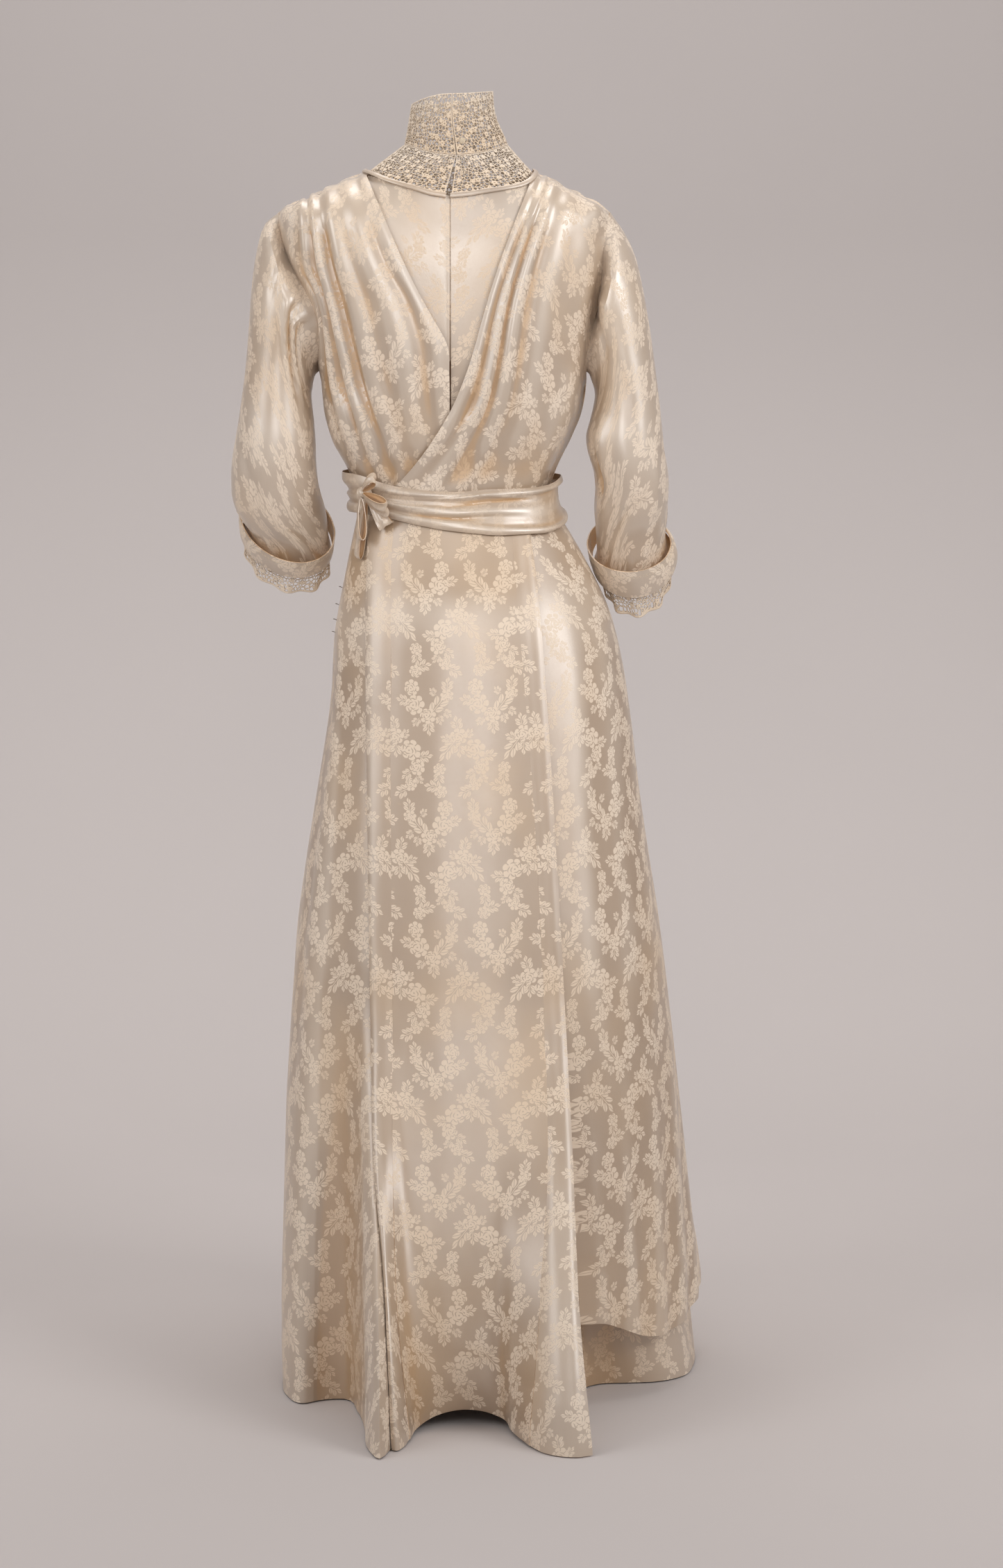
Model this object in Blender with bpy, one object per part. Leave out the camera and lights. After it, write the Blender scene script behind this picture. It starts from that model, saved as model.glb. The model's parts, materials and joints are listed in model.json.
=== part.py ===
"""Tea gown of figured ivory silk with a lace collar, about 1910, hollow as it is when worn.

The gown's back faces -Y, the wearer's right is +X and +Z is up.  The origin is the point between
the shoulders where the wearer carries the gown.  Sizes in the tables are millimetres, and heights
in them are measured up from the floor, then lowered by SHOULDER_HEIGHT when the meshes are made.
"""

import math

import bmesh
import bpy
import numpy as np

MM = 0.001
SHOULDER_HEIGHT = 1340.0
WAIST_HEIGHT = 985.0
SEAM_GAP = 0.5
SHOULDER_GAP = 0.45

SILK_THICKNESS = 1.2
CUFF_THICKNESS = 2.4
LACE_THICKNESS = 1.1
BINDING_THICKNESS = 1.6

# Distance from the inside of the gown to the middle of each layer of cloth.
YOKE_LAYER = 1.0
VEST_LAYER = -0.6
UNDER_LAYER = 0.6
OVER_LAYER = 2.4
LAP_LAYER = 8.0
SASH_LAYER = 12.6
# The skirt's layers spread apart below the sash, as loose cloth does.
OVERSKIRT_LAYERS = (3.4, 7.0)
PANEL_LAYERS = (6.2, 11.0)
BINDING_LAYERS = (2.6, 5.4)
SPREAD_DEPTH = 110.0


class Table:
    """Rows of sizes under named columns, read smoothly between rows by the first column."""

    def __init__(self, columns, *rows):
        self.columns = columns.split()
        ordered = sorted(rows)
        self.keys = np.array([row[0] for row in ordered], float)
        self.values = {
            name: np.array([row[i] for row in ordered], float)
            for i, name in enumerate(self.columns)
        }
        self.slopes = {name: self.find_slopes(values) for name, values in self.values.items()}

    def find_slopes(self, values):
        """Slopes at the rows, flat at each turn so that a reading never overshoots its rows."""
        chords = np.diff(values) / np.diff(self.keys)
        slopes = np.zeros(len(values))
        slopes[0], slopes[-1] = chords[0], chords[-1]
        for i in range(1, len(values) - 1):
            before, after = chords[i - 1], chords[i]
            if before * after > 0:
                slopes[i] = 2 * before * after / (before + after)
        return slopes

    def at(self, column, key):
        """The size in a column at any key; past the ends it stays at the end row."""
        keys, values, slopes = self.keys, self.values[column], self.slopes[column]
        if key <= keys[0]:
            return values[0]
        if key >= keys[-1]:
            return values[-1]
        i = int(np.searchsorted(keys, key) - 1)
        span = keys[i + 1] - keys[i]
        t = (key - keys[i]) / span
        rise = values[i + 1] - values[i]
        start, end = slopes[i] * span, slopes[i + 1] * span
        return values[i] + t * (start + t * ((3 * rise - 2 * start - end) + t * (start + end - 2 * rise)))


def ease(t):
    """A soft step from 0 to 1."""
    t = min(max(t, 0.0), 1.0)
    return t * t * (3 - 2 * t)


def mix(a, b, t):
    return a + (b - a) * t


class Form:
    """The hollow that the gown keeps: level slices, each a rounded oval round the body."""

    def __init__(self, slices, squareness):
        self.slices = slices
        self.power = 2.0 / squareness

    def extents(self, height):
        left = self.slices.at("left", height)
        right = self.slices.at("right", height)
        return 0.5 * (right - left), 0.5 * (right + left)

    def point(self, angle, height, side_shift=0.0):
        """Angle 0 is the centre back, 90 the wearer's right, 180 the centre front, -90 the left."""
        centre, half = self.extents(height)
        sine, cosine = math.sin(math.radians(angle)), math.cos(math.radians(angle))
        across = math.copysign(abs(sine) ** self.power, sine)
        along = abs(cosine) ** self.power
        left_y, right_y = self.slices.at("left_y", height), self.slices.at("right_y", height)
        side_y = mix(left_y, right_y, 0.5 + 0.5 * across)
        edge = -self.slices.at("back", height) if cosine > 0 else self.slices.at("front", height)
        return np.array([centre + half * across, mix(side_y, edge, along) + side_shift, height])

    def outward(self, angle, height):
        """The direction straight out of the form's surface."""
        around = self.point(angle + 0.5, height) - self.point(angle - 0.5, height)
        up = self.point(angle, height + 1.0) - self.point(angle, height - 1.0)
        normal = np.cross(around, up)
        return normal / np.linalg.norm(normal)

    def off(self, angle, height, distance, side_shift=0.0):
        return self.point(angle, height, side_shift) + self.outward(angle, height) * distance

    def back_angle(self, x, height):
        """The angle of the point of the back that lies x across from the axis."""
        centre, half = self.extents(height)
        reach = min(abs(x - centre) / half, 1.0)
        return math.copysign(math.degrees(math.asin(reach ** (1 / self.power))), x - centre)


TORSO = Form(
    Table(
        "height left right back front left_y right_y",
        (940, 112, 134, 90, 100, 0, 0),
        (962, 106, 120, 81, 94, 0, 0),
        (985, 101, 106, 75, 88, 0, 0),
        (1010, 110, 114, 77, 92, 0, 0),
        (1027, 121, 121, 81, 98, 0, 0),
        (1049, 132, 132, 87, 106, 0, 0),
        (1080, 140, 145, 94, 113, 0, 0),
        (1112, 143, 150, 99, 115, 0, 0),
        (1135, 148, 152, 102, 112, 0, 0),
        (1180, 160, 160, 104, 104, -1, -1),
        (1230, 175, 170, 103, 92, -4, -4),
        (1270, 187, 176, 99, 80, -8, -8),
        (1302, 191, 177, 93, 67, -12, -12),
        (1313, 167, 159, 91, 62, -12, -12),
        (1324, 142, 137, 89, 57, -11, -11),
        (1335, 118, 115, 87, 52, -9, -9),
        (1346, 94, 92, 84, 47, -6, -6),
        (1360, 62, 61, 80, 42, -2, -2),
    ),
    squareness=2.3,
)

SKIRT = Form(
    Table(
        "height left right back front left_y right_y",
        (0, 190, 278, 268, 165, -185, -65),
        (60, 192, 272, 263, 163, -170, -57),
        (120, 190, 267, 257, 161, -155, -50),
        (200, 187, 257, 248, 158, -135, -42),
        (300, 184, 248, 236, 154, -112, -34),
        (400, 178, 240, 220, 150, -90, -27),
        (500, 171, 229, 202, 146, -70, -20),
        (600, 158, 214, 180, 141, -50, -13),
        (700, 143, 201, 158, 136, -32, -7),
        (772, 134, 191, 142, 130, -20, -3),
        (820, 132, 182, 131, 124, -13, 0),
        (857, 128, 172, 121, 118, -8, 0),
        (886, 122, 160, 111, 112, -4, 0),
        (918, 115, 145, 99, 106, -2, 0),
        (937, 112, 134, 91, 100, 0, 0),
        (960, 106, 120, 82, 94, 0, 0),
        (985, 101, 106, 75, 88, 0, 0),
    ),
    squareness=2.2,
)

# How far the back panel stands behind the gores as it falls into the train.
TRAIN = Table(
    "height swing",
    (0, 128),
    (50, 108),
    (100, 88),
    (200, 52),
    (300, 25),
    (400, 9),
    (500, 2),
    (600, 0),
)

ARMHOLE_BOTTOM, ARMHOLE_TOP = 1130.0, 1302.0

ARMHOLE = Table(
    "height left_back left_front right_back right_front",
    (1130, -148, -148, 151, 151),
    (1140, -147, -146, 150, 149),
    (1160, -146, -140, 153, 146),
    (1181, -147, -138, 158, 146),
    (1208, -156, -142, 165, 150),
    (1236, -171, -151, 167, 156),
    (1262, -183, -164, 168, 163),
    (1285, -189, -178, 172, 170),
    (1302, -191, -191, 177, 177),
)

# The neckline by angle round the form, from the left shoulder round the back to the left again.
NECKLINE = Table(
    "angle height",
    (-90, 1346),
    (-66, 1344),
    (-44, 1340),
    (-25, 1334),
    (-12, 1328),
    (0, 1321),
    (15, 1326),
    (26, 1329),
    (37, 1332),
    (66, 1342),
    (90, 1346),
    (105, 1344.5),
    (121, 1342),
    (139, 1337),
    (152, 1331),
    (164, 1324),
    (172, 1319),
    (180, 1317),
    (188, 1319),
    (196, 1324),
    (208, 1331),
    (221, 1337),
    (239, 1342),
    (255, 1344.5),
    (270, 1346),
)


def halve(low, high, beyond):
    """The place between low and high where the test first stops being true."""
    for _ in range(32):
        middle = 0.5 * (low + high)
        if beyond(middle):
            high = middle
        else:
            low = middle
    return low


def seam_height(x):
    """Height of the shoulder seam above a point x across."""
    side = "right" if x > 0 else "left"
    return halve(ARMHOLE_TOP, 1360.0, lambda height: TORSO.slices.at(side, height) < abs(x))


def neck_reach(side):
    """How far across from the axis the neckline meets the shoulder seam."""
    angle = 90.0 if side == "right" else -90.0
    return abs(TORSO.point(angle, NECKLINE.at("height", angle))[0])


def top_height(x, face="back"):
    """Height of the bodice's top edge: the neckline, or the shoulder seam beyond it."""
    side = "right" if x > 0 else "left"
    if abs(x) >= neck_reach(side):
        return seam_height(x)
    sign = 1.0 if x > 0 else -1.0

    def neck_point(turn):
        angle = sign * turn if face == "back" else 180.0 - sign * turn
        key = angle if angle >= -90.0 else angle + 360.0
        return TORSO.point(angle, NECKLINE.at("height", key))

    turn = halve(0.0, 90.0, lambda angle: abs(neck_point(angle)[0]) > abs(x))
    return neck_point(turn)[2]


def side_edge(side, face, height):
    """Across position of the armhole's edge, or of the side seam below it."""
    sign = 1.0 if side == "right" else -1.0
    if height >= ARMHOLE_TOP:
        return sign * TORSO.slices.at(side, ARMHOLE_TOP)
    if height <= ARMHOLE_BOTTOM:
        return sign * TORSO.slices.at(side, height)
    return ARMHOLE.at(f"{side}_{face}", height)


# Folds of the left back, from the side to the edge at the centre back. Each line runs from the
# shoulder seam down to the waist, and lift is how far it stands out: crests high, troughs low.
LEFT_BACK_LINES = Table(
    "place top at_1250 at_1200 at_1150 at_1100 at_1050 at_waist lift",
    (1, -181, -171, -148, -142, -138, -126, -97, 5.0),
    (2, -172, -164, -146, -139, -132, -119, -91, 0.0),
    (3, -164, -157, -142, -134, -124, -111, -85, 7.5),
    (4, -159, -150, -136, -126, -115, -101, -76, 0.0),
    (5, -153, -143, -130, -118, -106, -90, -67, 8.5),
    (6, -146, -132, -119, -107, -94, -78, -57, 0.0),
    (7, -137, -121, -106, -95, -83, -66, -48, 8.5),
    (8, -126, -106, -90, -77, -65, -52, -38, 0.0),
    (9, -115, -88, -66, -52, -44, -35, -26, 6.5),
    (10, -105, -72, -46, -31, -25, -19, -15, 0.0),
    (11, -98.5, -58, -33, -12, -9, -7, -6, 2.4),
    (12, -94.5, -53, -28, -3, -2, -2, -2, 1.0),
)

# Folds of the right back, from its lapping edge to the side, described the same way.
RIGHT_BACK_LINES = Table(
    "place top at_1250 at_1200 at_1150 at_1100 at_1050 at_waist lift",
    (1, 92.4, 55, 39, 25, 7, -22, -72, 1.0),
    (2, 96, 59, 43, 30, 13, -16, -64, 4.5),
    (3, 100.5, 65, 49, 38, 25, -3, -49, 0.0),
    (4, 105, 71, 57, 47, 36, 10, -33, 7.5),
    (5, 109.5, 77, 63, 54, 44, 23, -13, 0.4),
    (6, 114.5, 84, 70, 62, 53, 36, 7, 5.5),
    (7, 122, 96, 84, 76, 68, 52, 27, 0.0),
    (8, 131, 112, 101, 94, 86, 70, 45, 1.6),
    (9, 145, 130, 121, 114, 106, 90, 63, 0.0),
    (10, 160, 149, 143, 135, 127, 108, 82, 1.0),
)

# Gathers of the plain front: place along the top and along the waist, as shares of the width.
FRONT_LINES = Table(
    "place top_share waist_share lift",
    (1, 0.055, 0.07, 2.5),
    (2, 0.085, 0.13, 0.0),
    (3, 0.115, 0.19, 3.0),
    (4, 0.150, 0.24, 0.0),
    (5, 0.200, 0.29, 2.6),
    (6, 0.258, 0.34, 0.0),
    (7, 0.274, 0.38, 0.6),
    (8, 0.300, 0.41, 0.0),
    (9, 0.345, 0.44, 0.0),
    (10, 0.420, 0.47, 0.0),
    (11, 0.520, 0.51, 0.6),
    (12, 0.620, 0.55, 0.0),
    (13, 0.695, 0.58, 0.0),
    (14, 0.740, 0.61, 0.0),
    (15, 0.766, 0.64, 0.6),
    (16, 0.782, 0.68, 0.0),
    (17, 0.835, 0.73, 2.6),
    (18, 0.872, 0.78, 0.0),
    (19, 0.900, 0.83, 3.0),
    (20, 0.925, 0.88, 0.0),
    (21, 0.950, 0.94, 2.5),
)

# Lines of the skirt's back panel and its pleat strips: place across at five heights, and where
# the line meets the floor (behind is the distance behind the axis, rise the height of the hem).
BACK_PANEL_LINES = Table(
    "place at_waist at_900 at_550 at_300 at_150 floor_x behind rise lift",
    (1, -60, -62, -62, -61, -57, -43, 402, 2, 0.4),
    (2, -50, -52, -53, -52, -48, -36, 372, 5, 0.3),
    (3, -34, -36, -36, -34, -30, -16, 350, 12, 0.0),
    (4, -14, -13, -10, -5, 0, 12, 342, 16, 0.4),
    (5, 8, 10, 16, 24, 28, 36, 344, 14, 0.0),
    (6, 28, 30, 42, 50, 50, 53, 352, 9, 0.4),
    (7, 46, 50, 66, 72, 66, 62, 380, 4, 0.0),
    (8, 64, 69, 94, 101, 92, 80, 424, 1, 0.0),
)

LEFT_PLEAT_LINES = Table(
    "place at_waist at_900 at_550 at_300 at_150 floor_x behind rise lift",
    (1, -88, -89, -87, -82, -69, -62, 436, 0, 0.4),
    (2, -85, -86, -84, -79, -67, -58, 438, 0, 1.6),
    (3, -74, -75, -75, -71, -63, -50, 425, 0, 1.8),
    (4, -60.9, -62.9, -62.9, -61.9, -57.9, -44, 402.5, 2, 1.4),
)

RIGHT_PLEAT_LINES = Table(
    "place at_waist at_900 at_550 at_300 at_150 floor_x behind rise lift",
    (1, 64.9, 69.9, 94.9, 101.9, 92.9, 81, 425, 1, 1.0),
    (2, 68, 73, 98, 106, 101, 92, 444, 0, 1.8),
    (3, 72, 81, 104, 115, 114, 112, 460, 0, 1.5),
    (4, 75, 88, 110, 122, 126, 130, 463, 0, 1.7),
    (5, 77, 91, 114, 126, 131, 144, 456, 0, 0.5),
)

# Lines of the gores by angle round the form, with the floor point where the hem has a flute.
# Reach is the share of the way to that point, train the share of the back panel's outward swing
# that the line follows, and lift the height of its soft fold half way down.
GORE_COLUMNS = "place at_waist at_550 at_floor floor_x behind reach train lift"
LEFT_GORE_LINES = Table(
    GORE_COLUMNS,
    (1, -40, -27, -19, -48, 384, 1.0, 0.70, 0),
    (2, -46, -30, -22, -57, 402, 1.0, 0.75, 2),
    (3, -52, -33, -25, -68, 440, 1.0, 0.85, 4),
    (4, -57, -35, -28, -77, 466, 1.0, 0.88, 4.5),
    (5, -61, -37.5, -31, -88, 436, 1.0, 0.80, 4.5),
    (6, -64, -40, -33.5, -95, 352, 1.0, 0.50, 4),
    (7, -67, -43, -37, -104, 290, 1.0, 0.22, 3),
    (8, -71, -47, -42, -120, 244, 1.0, 0.05, 2),
    (9, -76, -53, -50, -142, 246, 1.0, 0, 2),
    (10, -82, -62, -62, -166, 260, 1.0, 0, 5),
    (11, -91, -76, -77, -186, 222, 1.0, 0, 0),
    (12, -100, -90, -90, -190, 182, 0.6, 0, 3),
    (13, -111, -105, -104, -186, 130, 0, 0, 0),
    (14, -124.8, -121.8, -119.8, -160, 40, 0, 0, 0),
)

RIGHT_GORE_LINES = Table(
    GORE_COLUMNS,
    (1, 32, 16, 17, 114, 438, 1.0, 1.00, 0),
    (2, 34, 18, 19, 128, 441, 1.0, 1.00, 0),
    (3, 37, 20, 20.5, 135, 408, 1.0, 0.85, 0),
    (4, 40, 22, 22, 136, 330, 1.0, 0.50, 0),
    (5, 43, 24, 23.5, 137, 262, 1.0, 0.22, 0),
    (6, 46, 26.5, 26, 144, 208, 1.0, 0, 0),
    (7, 51, 32, 30, 165, 188, 1.0, 0, 0),
    (8, 57, 41, 39, 197, 184, 1.0, 0, 0),
    (9, 64, 52, 51.5, 231, 179, 1.0, 0, 0),
    (10, 72, 64, 66, 259, 150, 0, 0, 0),
    (11, 82, 77, 80, 276, 108, 0, 0, 0),
    (12, 93, 90, 92, 281, 60, 0, 0, 0),
    (13, 108, 105, 105, 270, 0, 0, 0, 0),
    (14, 124.8, 121.8, 119.8, 230, -60, 0, 0, 0),
)

FRONT_GORE_LINES = Table(
    GORE_COLUMNS,
    (1, 125.2, 122.2, 120.2, 0, 0, 0, 0, 0),
    (2, 139, 137, 136, 0, 0, 0, 0, 2),
    (3, 153, 152, 152, 0, 0, 0, 0, 0),
    (4, 167, 166, 166, 0, 0, 0, 0, 3),
    (5, 181, 180, 180, 0, 0, 0, 0, 0),
    (6, 195, 194, 194, 0, 0, 0, 0, 3),
    (7, 208, 208, 208, 0, 0, 0, 0, 0),
    (8, 221, 223, 224, 0, 0, 0, 0, 2),
    (9, 234.8, 237.8, 239.8, 0, 0, 0, 0, 0),
)

# The overskirt's front edge by height, its hem by angle, and its soft folds by share of width.
OVERSKIRT_EDGE = Table(
    "height angle",
    (60, 92),
    (120, 97),
    (250, 108),
    (450, 124),
    (650, 144),
    (800, 162),
    (985, 186),
)
OVERSKIRT_START = Table(
    "height angle", (60, 26.5), (300, 26), (380, 24.5), (450, 21.5), (700, 21), (900, 26), (985, 38)
)
OVERSKIRT_HEM = Table(
    "angle height", (20, 88), (30, 86), (38, 74), (45, 64), (52, 61), (58, 63), (68, 72), (77, 80), (92, 79)
)
OVERSKIRT_LINES = Table(
    "share lift hem_lift",
    (0.00, 0.0, 0.0),
    (0.06, 0.2, 1.0),
    (0.13, 1.8, 0.0),
    (0.20, 0.2, 3.0),
    (0.28, 1.2, 0.0),
    (0.37, 0.0, 4.0),
    (0.46, 0.9, 0.0),
    (0.55, 0.0, 5.0),
    (0.65, 0.8, 1.0),
    (0.75, 0.0, 6.0),
    (0.84, 0.8, 0.0),
    (0.92, 0.0, 4.0),
    (1.00, 0.6, 9.0),
)

# Sleeve sections from shoulder to wrist: the point nearest the body, the point farthest from it,
# and the middle of the section front to back. Lean tips the section so that its back is lower.
SLEEVE_COLUMNS = "section inner_x inner_z outer_x outer_z middle_y half_depth lean"
LEFT_SLEEVE = Table(
    SLEEVE_COLUMNS,
    (1, -154, 1122, -207, 1293, -3, 61, 0),
    (2, -156, 1114, -218, 1258, -4, 59, 0),
    (3, -157, 1107, -225, 1206, -6, 56, 0),
    (4, -158, 1098, -229, 1150, -8, 54, 0),
    (5, -156, 1076, -235, 1102, -10, 54, 0),
    (6, -154, 1050, -242, 1056, -12, 55, 5),
    (7, -153, 1015, -248, 1020, -8, 57, 16),
    (8, -150, 990, -249, 992, 0, 56, 28),
    (9, -144, 968, -241, 973, 6, 49, 38),
    (10, -141, 950, -233, 960, 12, 45, 45),
    (11, -140, 934, -234, 950, 21, 45, 48),
    (12, -137.8, 924.6, -238.2, 947.4, 24, 51.7, 50),
)
RIGHT_SLEEVE = Table(
    SLEEVE_COLUMNS,
    (1, 157, 1122, 190, 1289, -3, 61, 0),
    (2, 160, 1114, 205, 1262, -4, 59, 0),
    (3, 162, 1107, 217, 1216, -6, 56, 0),
    (4, 163, 1098, 226, 1160, -8, 54, 0),
    (5, 159, 1076, 235, 1096, -10, 53, 0),
    (6, 153, 1055, 239, 1058, -12, 54, 4),
    (7, 156, 1030, 242, 1032, -9, 56, 12),
    (8, 164, 1004, 247, 1004, -3, 56, 22),
    (9, 163, 975, 246, 976, 3, 50, 30),
    (10, 165, 948, 244, 950, 9, 46, 36),
    (11, 167, 918, 246, 922, 19, 46, 42),
    (12, 163.3, 909.2, 255.7, 915.8, 23, 55.7, 46),
)
LEFT_CUFF = Table(
    SLEEVE_COLUMNS,
    (1, -133, 940, -240, 967, 13, 56, 47),
    (2, -134, 935, -241, 960, 17, 56, 48),
    (3, -134.5, 929, -241, 953, 21, 55, 49),
    (4, -135.5, 924, -240.5, 948, 24, 54, 50),
)
RIGHT_CUFF = Table(
    SLEEVE_COLUMNS,
    (1, 155, 929, 251, 932, 12, 56, 32),
    (2, 157, 922, 254, 928, 15, 57, 37),
    (3, 159, 915, 257, 922, 19, 58, 42),
    (4, 161, 909, 258, 916, 23, 58, 46),
)
LEFT_FRILL = Table(
    SLEEVE_COLUMNS,
    (1, -139.8, 924.2, -236.2, 946.8, 24.5, 49.7, 50),
    (2, -140, 917, -235, 938, 29, 48, 48),
    (3, -140.5, 909, -235, 931, 34, 48, 46),
    (4, -141, 902, -235, 924, 39, 48.5, 45),
)
RIGHT_FRILL = Table(
    SLEEVE_COLUMNS,
    (1, 165.4, 909, 253.6, 915.4, 23.5, 53.7, 46),
    (2, 170, 900, 252, 907, 28, 51, 44),
    (3, 174, 891, 251, 899, 33, 50, 42),
    (4, 177, 881, 250, 890, 37, 49.5, 41),
)
FRILL_WAVES = 9
FRILL_WAVE_HEIGHT = 2.2
FRILL_GAP_HALF_SIZE = 2.4
FRILL_GAPS_EACH_HALF = 9

# The collar's rings from its seam to its top edge: size, place and height at the four quarters.
COLLAR = Table(
    "ring centre_x half_width centre_y half_depth back_z right_z front_z left_z",
    (1, 6.5, 57.5, -2, 56, 1367, 1379, 1372, 1380),
    (2, 4.0, 52.5, 0, 51, 1388, 1396, 1388, 1392),
    (3, 1.5, 47.5, 3, 47, 1410, 1416, 1406, 1408),
    (4, 2.0, 45.5, 6, 46, 1434, 1438, 1426, 1423),
)

# The sash: height of its two edges round the waist, and the draped folds across its width.
SASH_EDGES = Table(
    "angle low high",
    (-180, 966, 1008),
    (-110, 968, 1013),
    (-60, 969, 1012),
    (-45, 967, 1006),
    (-30, 962, 999),
    (0, 951, 994),
    (20, 947, 997),
    (45, 948, 997),
    (65, 953, 1000),
    (90, 961, 1008),
    (130, 964, 1008),
    (180, 966, 1008),
)
SASH_FOLDS = Table(
    "share out",
    (0.00, -1.2),
    (0.09, 1.6),
    (0.24, 2.4),
    (0.34, 0.2),
    (0.50, 3.0),
    (0.64, 0.8),
    (0.84, 3.0),
    (1.00, -1.0),
)

# Loops of the sash knot: direction in degrees from straight out to the wearer's right, turning
# up, with its start off the knot's middle, length, ribbon width, half thickness and distance in
# front of the sash.
KNOT_PLACE = (-81.0, 993.0)
LOOPS = Table(
    "loop direction start length width bulge stand_off",
    (1, 203, 5.3, 38, 20, 5.5, 13.5),
    (2, 232, 6.4, 40, 17, 4.5, 2.0),
    (3, 268, 5.6, 47, 16, 4.5, 13.0),
    (4, 281, 6.4, 69, 14, 3.5, 2.5),
    (5, 140, 5.3, 22, 16, 4.5, 13.0),
)

SILK_COLOUR = (0.78, 0.67, 0.53, 1.0)
LACE_COLOUR = (0.76, 0.66, 0.50, 1.0)


def material(name, colour, roughness, metallic=0.0):
    """A plain finish with one colour."""
    made = bpy.data.materials.get(name)
    if made:
        return made
    made = bpy.data.materials.new(name)
    made.use_nodes = True
    shader = made.node_tree.nodes["Principled BSDF"]
    shader.inputs["Base Color"].default_value = colour
    shader.inputs["Roughness"].default_value = roughness
    shader.inputs["Metallic"].default_value = metallic
    return made


def silk():
    return material("silk_damask", SILK_COLOUR, 0.42)


def lace():
    return material("cotton_lace", LACE_COLOUR, 0.85)


def grid_normals(grid, closed):
    """Directions straight out of a grid of points, rows first; closed grids join end to end."""
    if closed:
        across = np.roll(grid, -1, axis=1) - np.roll(grid, 1, axis=1)
    else:
        across = np.gradient(grid, axis=1)
    down = np.gradient(grid, axis=0)
    normals = np.cross(across, down)
    lengths = np.linalg.norm(normals, axis=2, keepdims=True)
    return normals / np.maximum(lengths, 1e-9)


def octagon(corners, half_size):
    """Eight points round the middle of a four-cornered cell, two for each corner."""
    corners = np.array(corners)
    middle = corners.mean(axis=0)
    across = corners[1] - corners[0] + corners[2] - corners[3]
    down = corners[3] - corners[0] + corners[2] - corners[1]
    across /= np.linalg.norm(across)
    down /= np.linalg.norm(down)
    turns = [math.radians(a) for a in (247.5, 292.5, 337.5, 22.5, 67.5, 112.5, 157.5, 202.5)]
    return [middle + half_size * (math.cos(a) * across + math.sin(a) * down) for a in turns]


def cloth(name, rows, thickness, finish, closed=False, gaps=()):
    """A wall of cloth round a grid of middle points, open or closed round its columns.

    Gaps are the (row, column) cells that are cut right through.
    """
    grid = np.array(rows, float)
    reach = grid_normals(grid, closed) * (0.5 * thickness)
    height, width = grid.shape[:2]
    made = bmesh.new()

    def vertex(point):
        return made.verts.new((point[0] * MM, point[1] * MM, (point[2] - SHOULDER_HEIGHT) * MM))

    sides = [[[vertex(point) for point in row] for row in grid + sign * reach] for sign in (1, -1)]
    last = width if closed else width - 1
    cells = [(r, c) for r in range(height - 1) for c in range(last)]
    for r, c in cells:
        d = (c + 1) % width
        loops = [[side[r][c], side[r][d], side[r + 1][d], side[r + 1][c]] for side in sides]
        if (r, c) not in gaps:
            # Both faces of the wall fold along the same, shorter, diagonal.
            falling, rising = grid[r, c] - grid[r + 1, d], grid[r, d] - grid[r + 1, c]
            shorter = np.linalg.norm(falling) <= np.linalg.norm(rising)
            halves = ((0, 1, 2), (0, 2, 3)) if shorter else ((0, 1, 3), (1, 2, 3))
            for half in halves:
                made.faces.new([loops[0][i] for i in half])
                made.faces.new([loops[1][i] for i in half[::-1]])
            continue
        holes = []
        for loop in loops:
            corners = [np.array(v.co) for v in loop]
            hole = [made.verts.new(p) for p in octagon(corners, FRILL_GAP_HALF_SIZE * MM)]
            holes.append(hole)
            for i in range(4):
                j = (i + 1) % 4
                made.faces.new([loop[i], loop[j], hole[(2 * i + 2) % 8], hole[2 * i + 1]])
                made.faces.new([loop[i], hole[2 * i + 1], hole[2 * i]])
        for i in range(8):
            j = (i + 1) % 8
            made.faces.new([holes[0][i], holes[0][j], holes[1][j], holes[1][i]])
    for r in (0, height - 1):
        for c in range(last):
            d = (c + 1) % width
            made.faces.new([sides[0][r][c], sides[0][r][d], sides[1][r][d], sides[1][r][c]])
    if not closed:
        for c in (0, width - 1):
            for r in range(height - 1):
                made.faces.new([sides[0][r][c], sides[0][r + 1][c], sides[1][r + 1][c], sides[1][r][c]])
    return finish_object(name, made, finish)


def finish_object(name, made, finish):
    """Turn a finished mesh into a named object with its own material, shaded smooth."""
    bmesh.ops.recalc_face_normals(made, faces=made.faces)
    mesh = bpy.data.meshes.new(name)
    made.to_mesh(mesh)
    made.free()
    mesh.materials.append(finish)
    mesh.shade_smooth()
    item = bpy.data.objects.new(name, mesh)
    bpy.context.scene.collection.objects.link(item)
    return item


LEVEL_COLUMNS = {"at_1250": 1250, "at_1200": 1200, "at_1150": 1150, "at_1100": 1100, "at_1050": 1050}


def bodice_line(lines, place, top):
    """One fold line of the bodice back as its own small table of x by height."""
    rows = [(WAIST_HEIGHT, lines.at("at_waist", place)), (top, lines.at("top", place))]
    for column, height in LEVEL_COLUMNS.items():
        if height < top - 8:
            rows.append((height, lines.at(column, place)))
    return Table("height x", *rows)


def lap_layer(x, height):
    """Layer of the right back: it climbs over the left back where the two cross."""
    crossing = ease((14.0 - x) / 24.0) * ease((1112.0 - height) / 30.0)
    return mix(OVER_LAYER, LAP_LAYER, crossing)


def lapped(x, height):
    """How far a point of the left back lies below the lapping right back, from 0 to 1."""
    edge = bodice_line(RIGHT_BACK_LINES, 1, WAIST_HEIGHT + 350.0).at("x", height)
    return ease((x - edge + 14.0) / 20.0) * ease((1112.0 - height) / 30.0)


def settle(xs, lifts, room=7.0):
    """Lifts for one row: a fold lies down where its neighbours crowd in on it."""
    settled = []
    for i, lift in enumerate(lifts):
        near = [abs(xs[i] - xs[j]) for j in (i - 1, i + 1) if 0 <= j < len(xs)]
        settled.append(lift * min(1.0, min(near) / room))
    return settled


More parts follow.
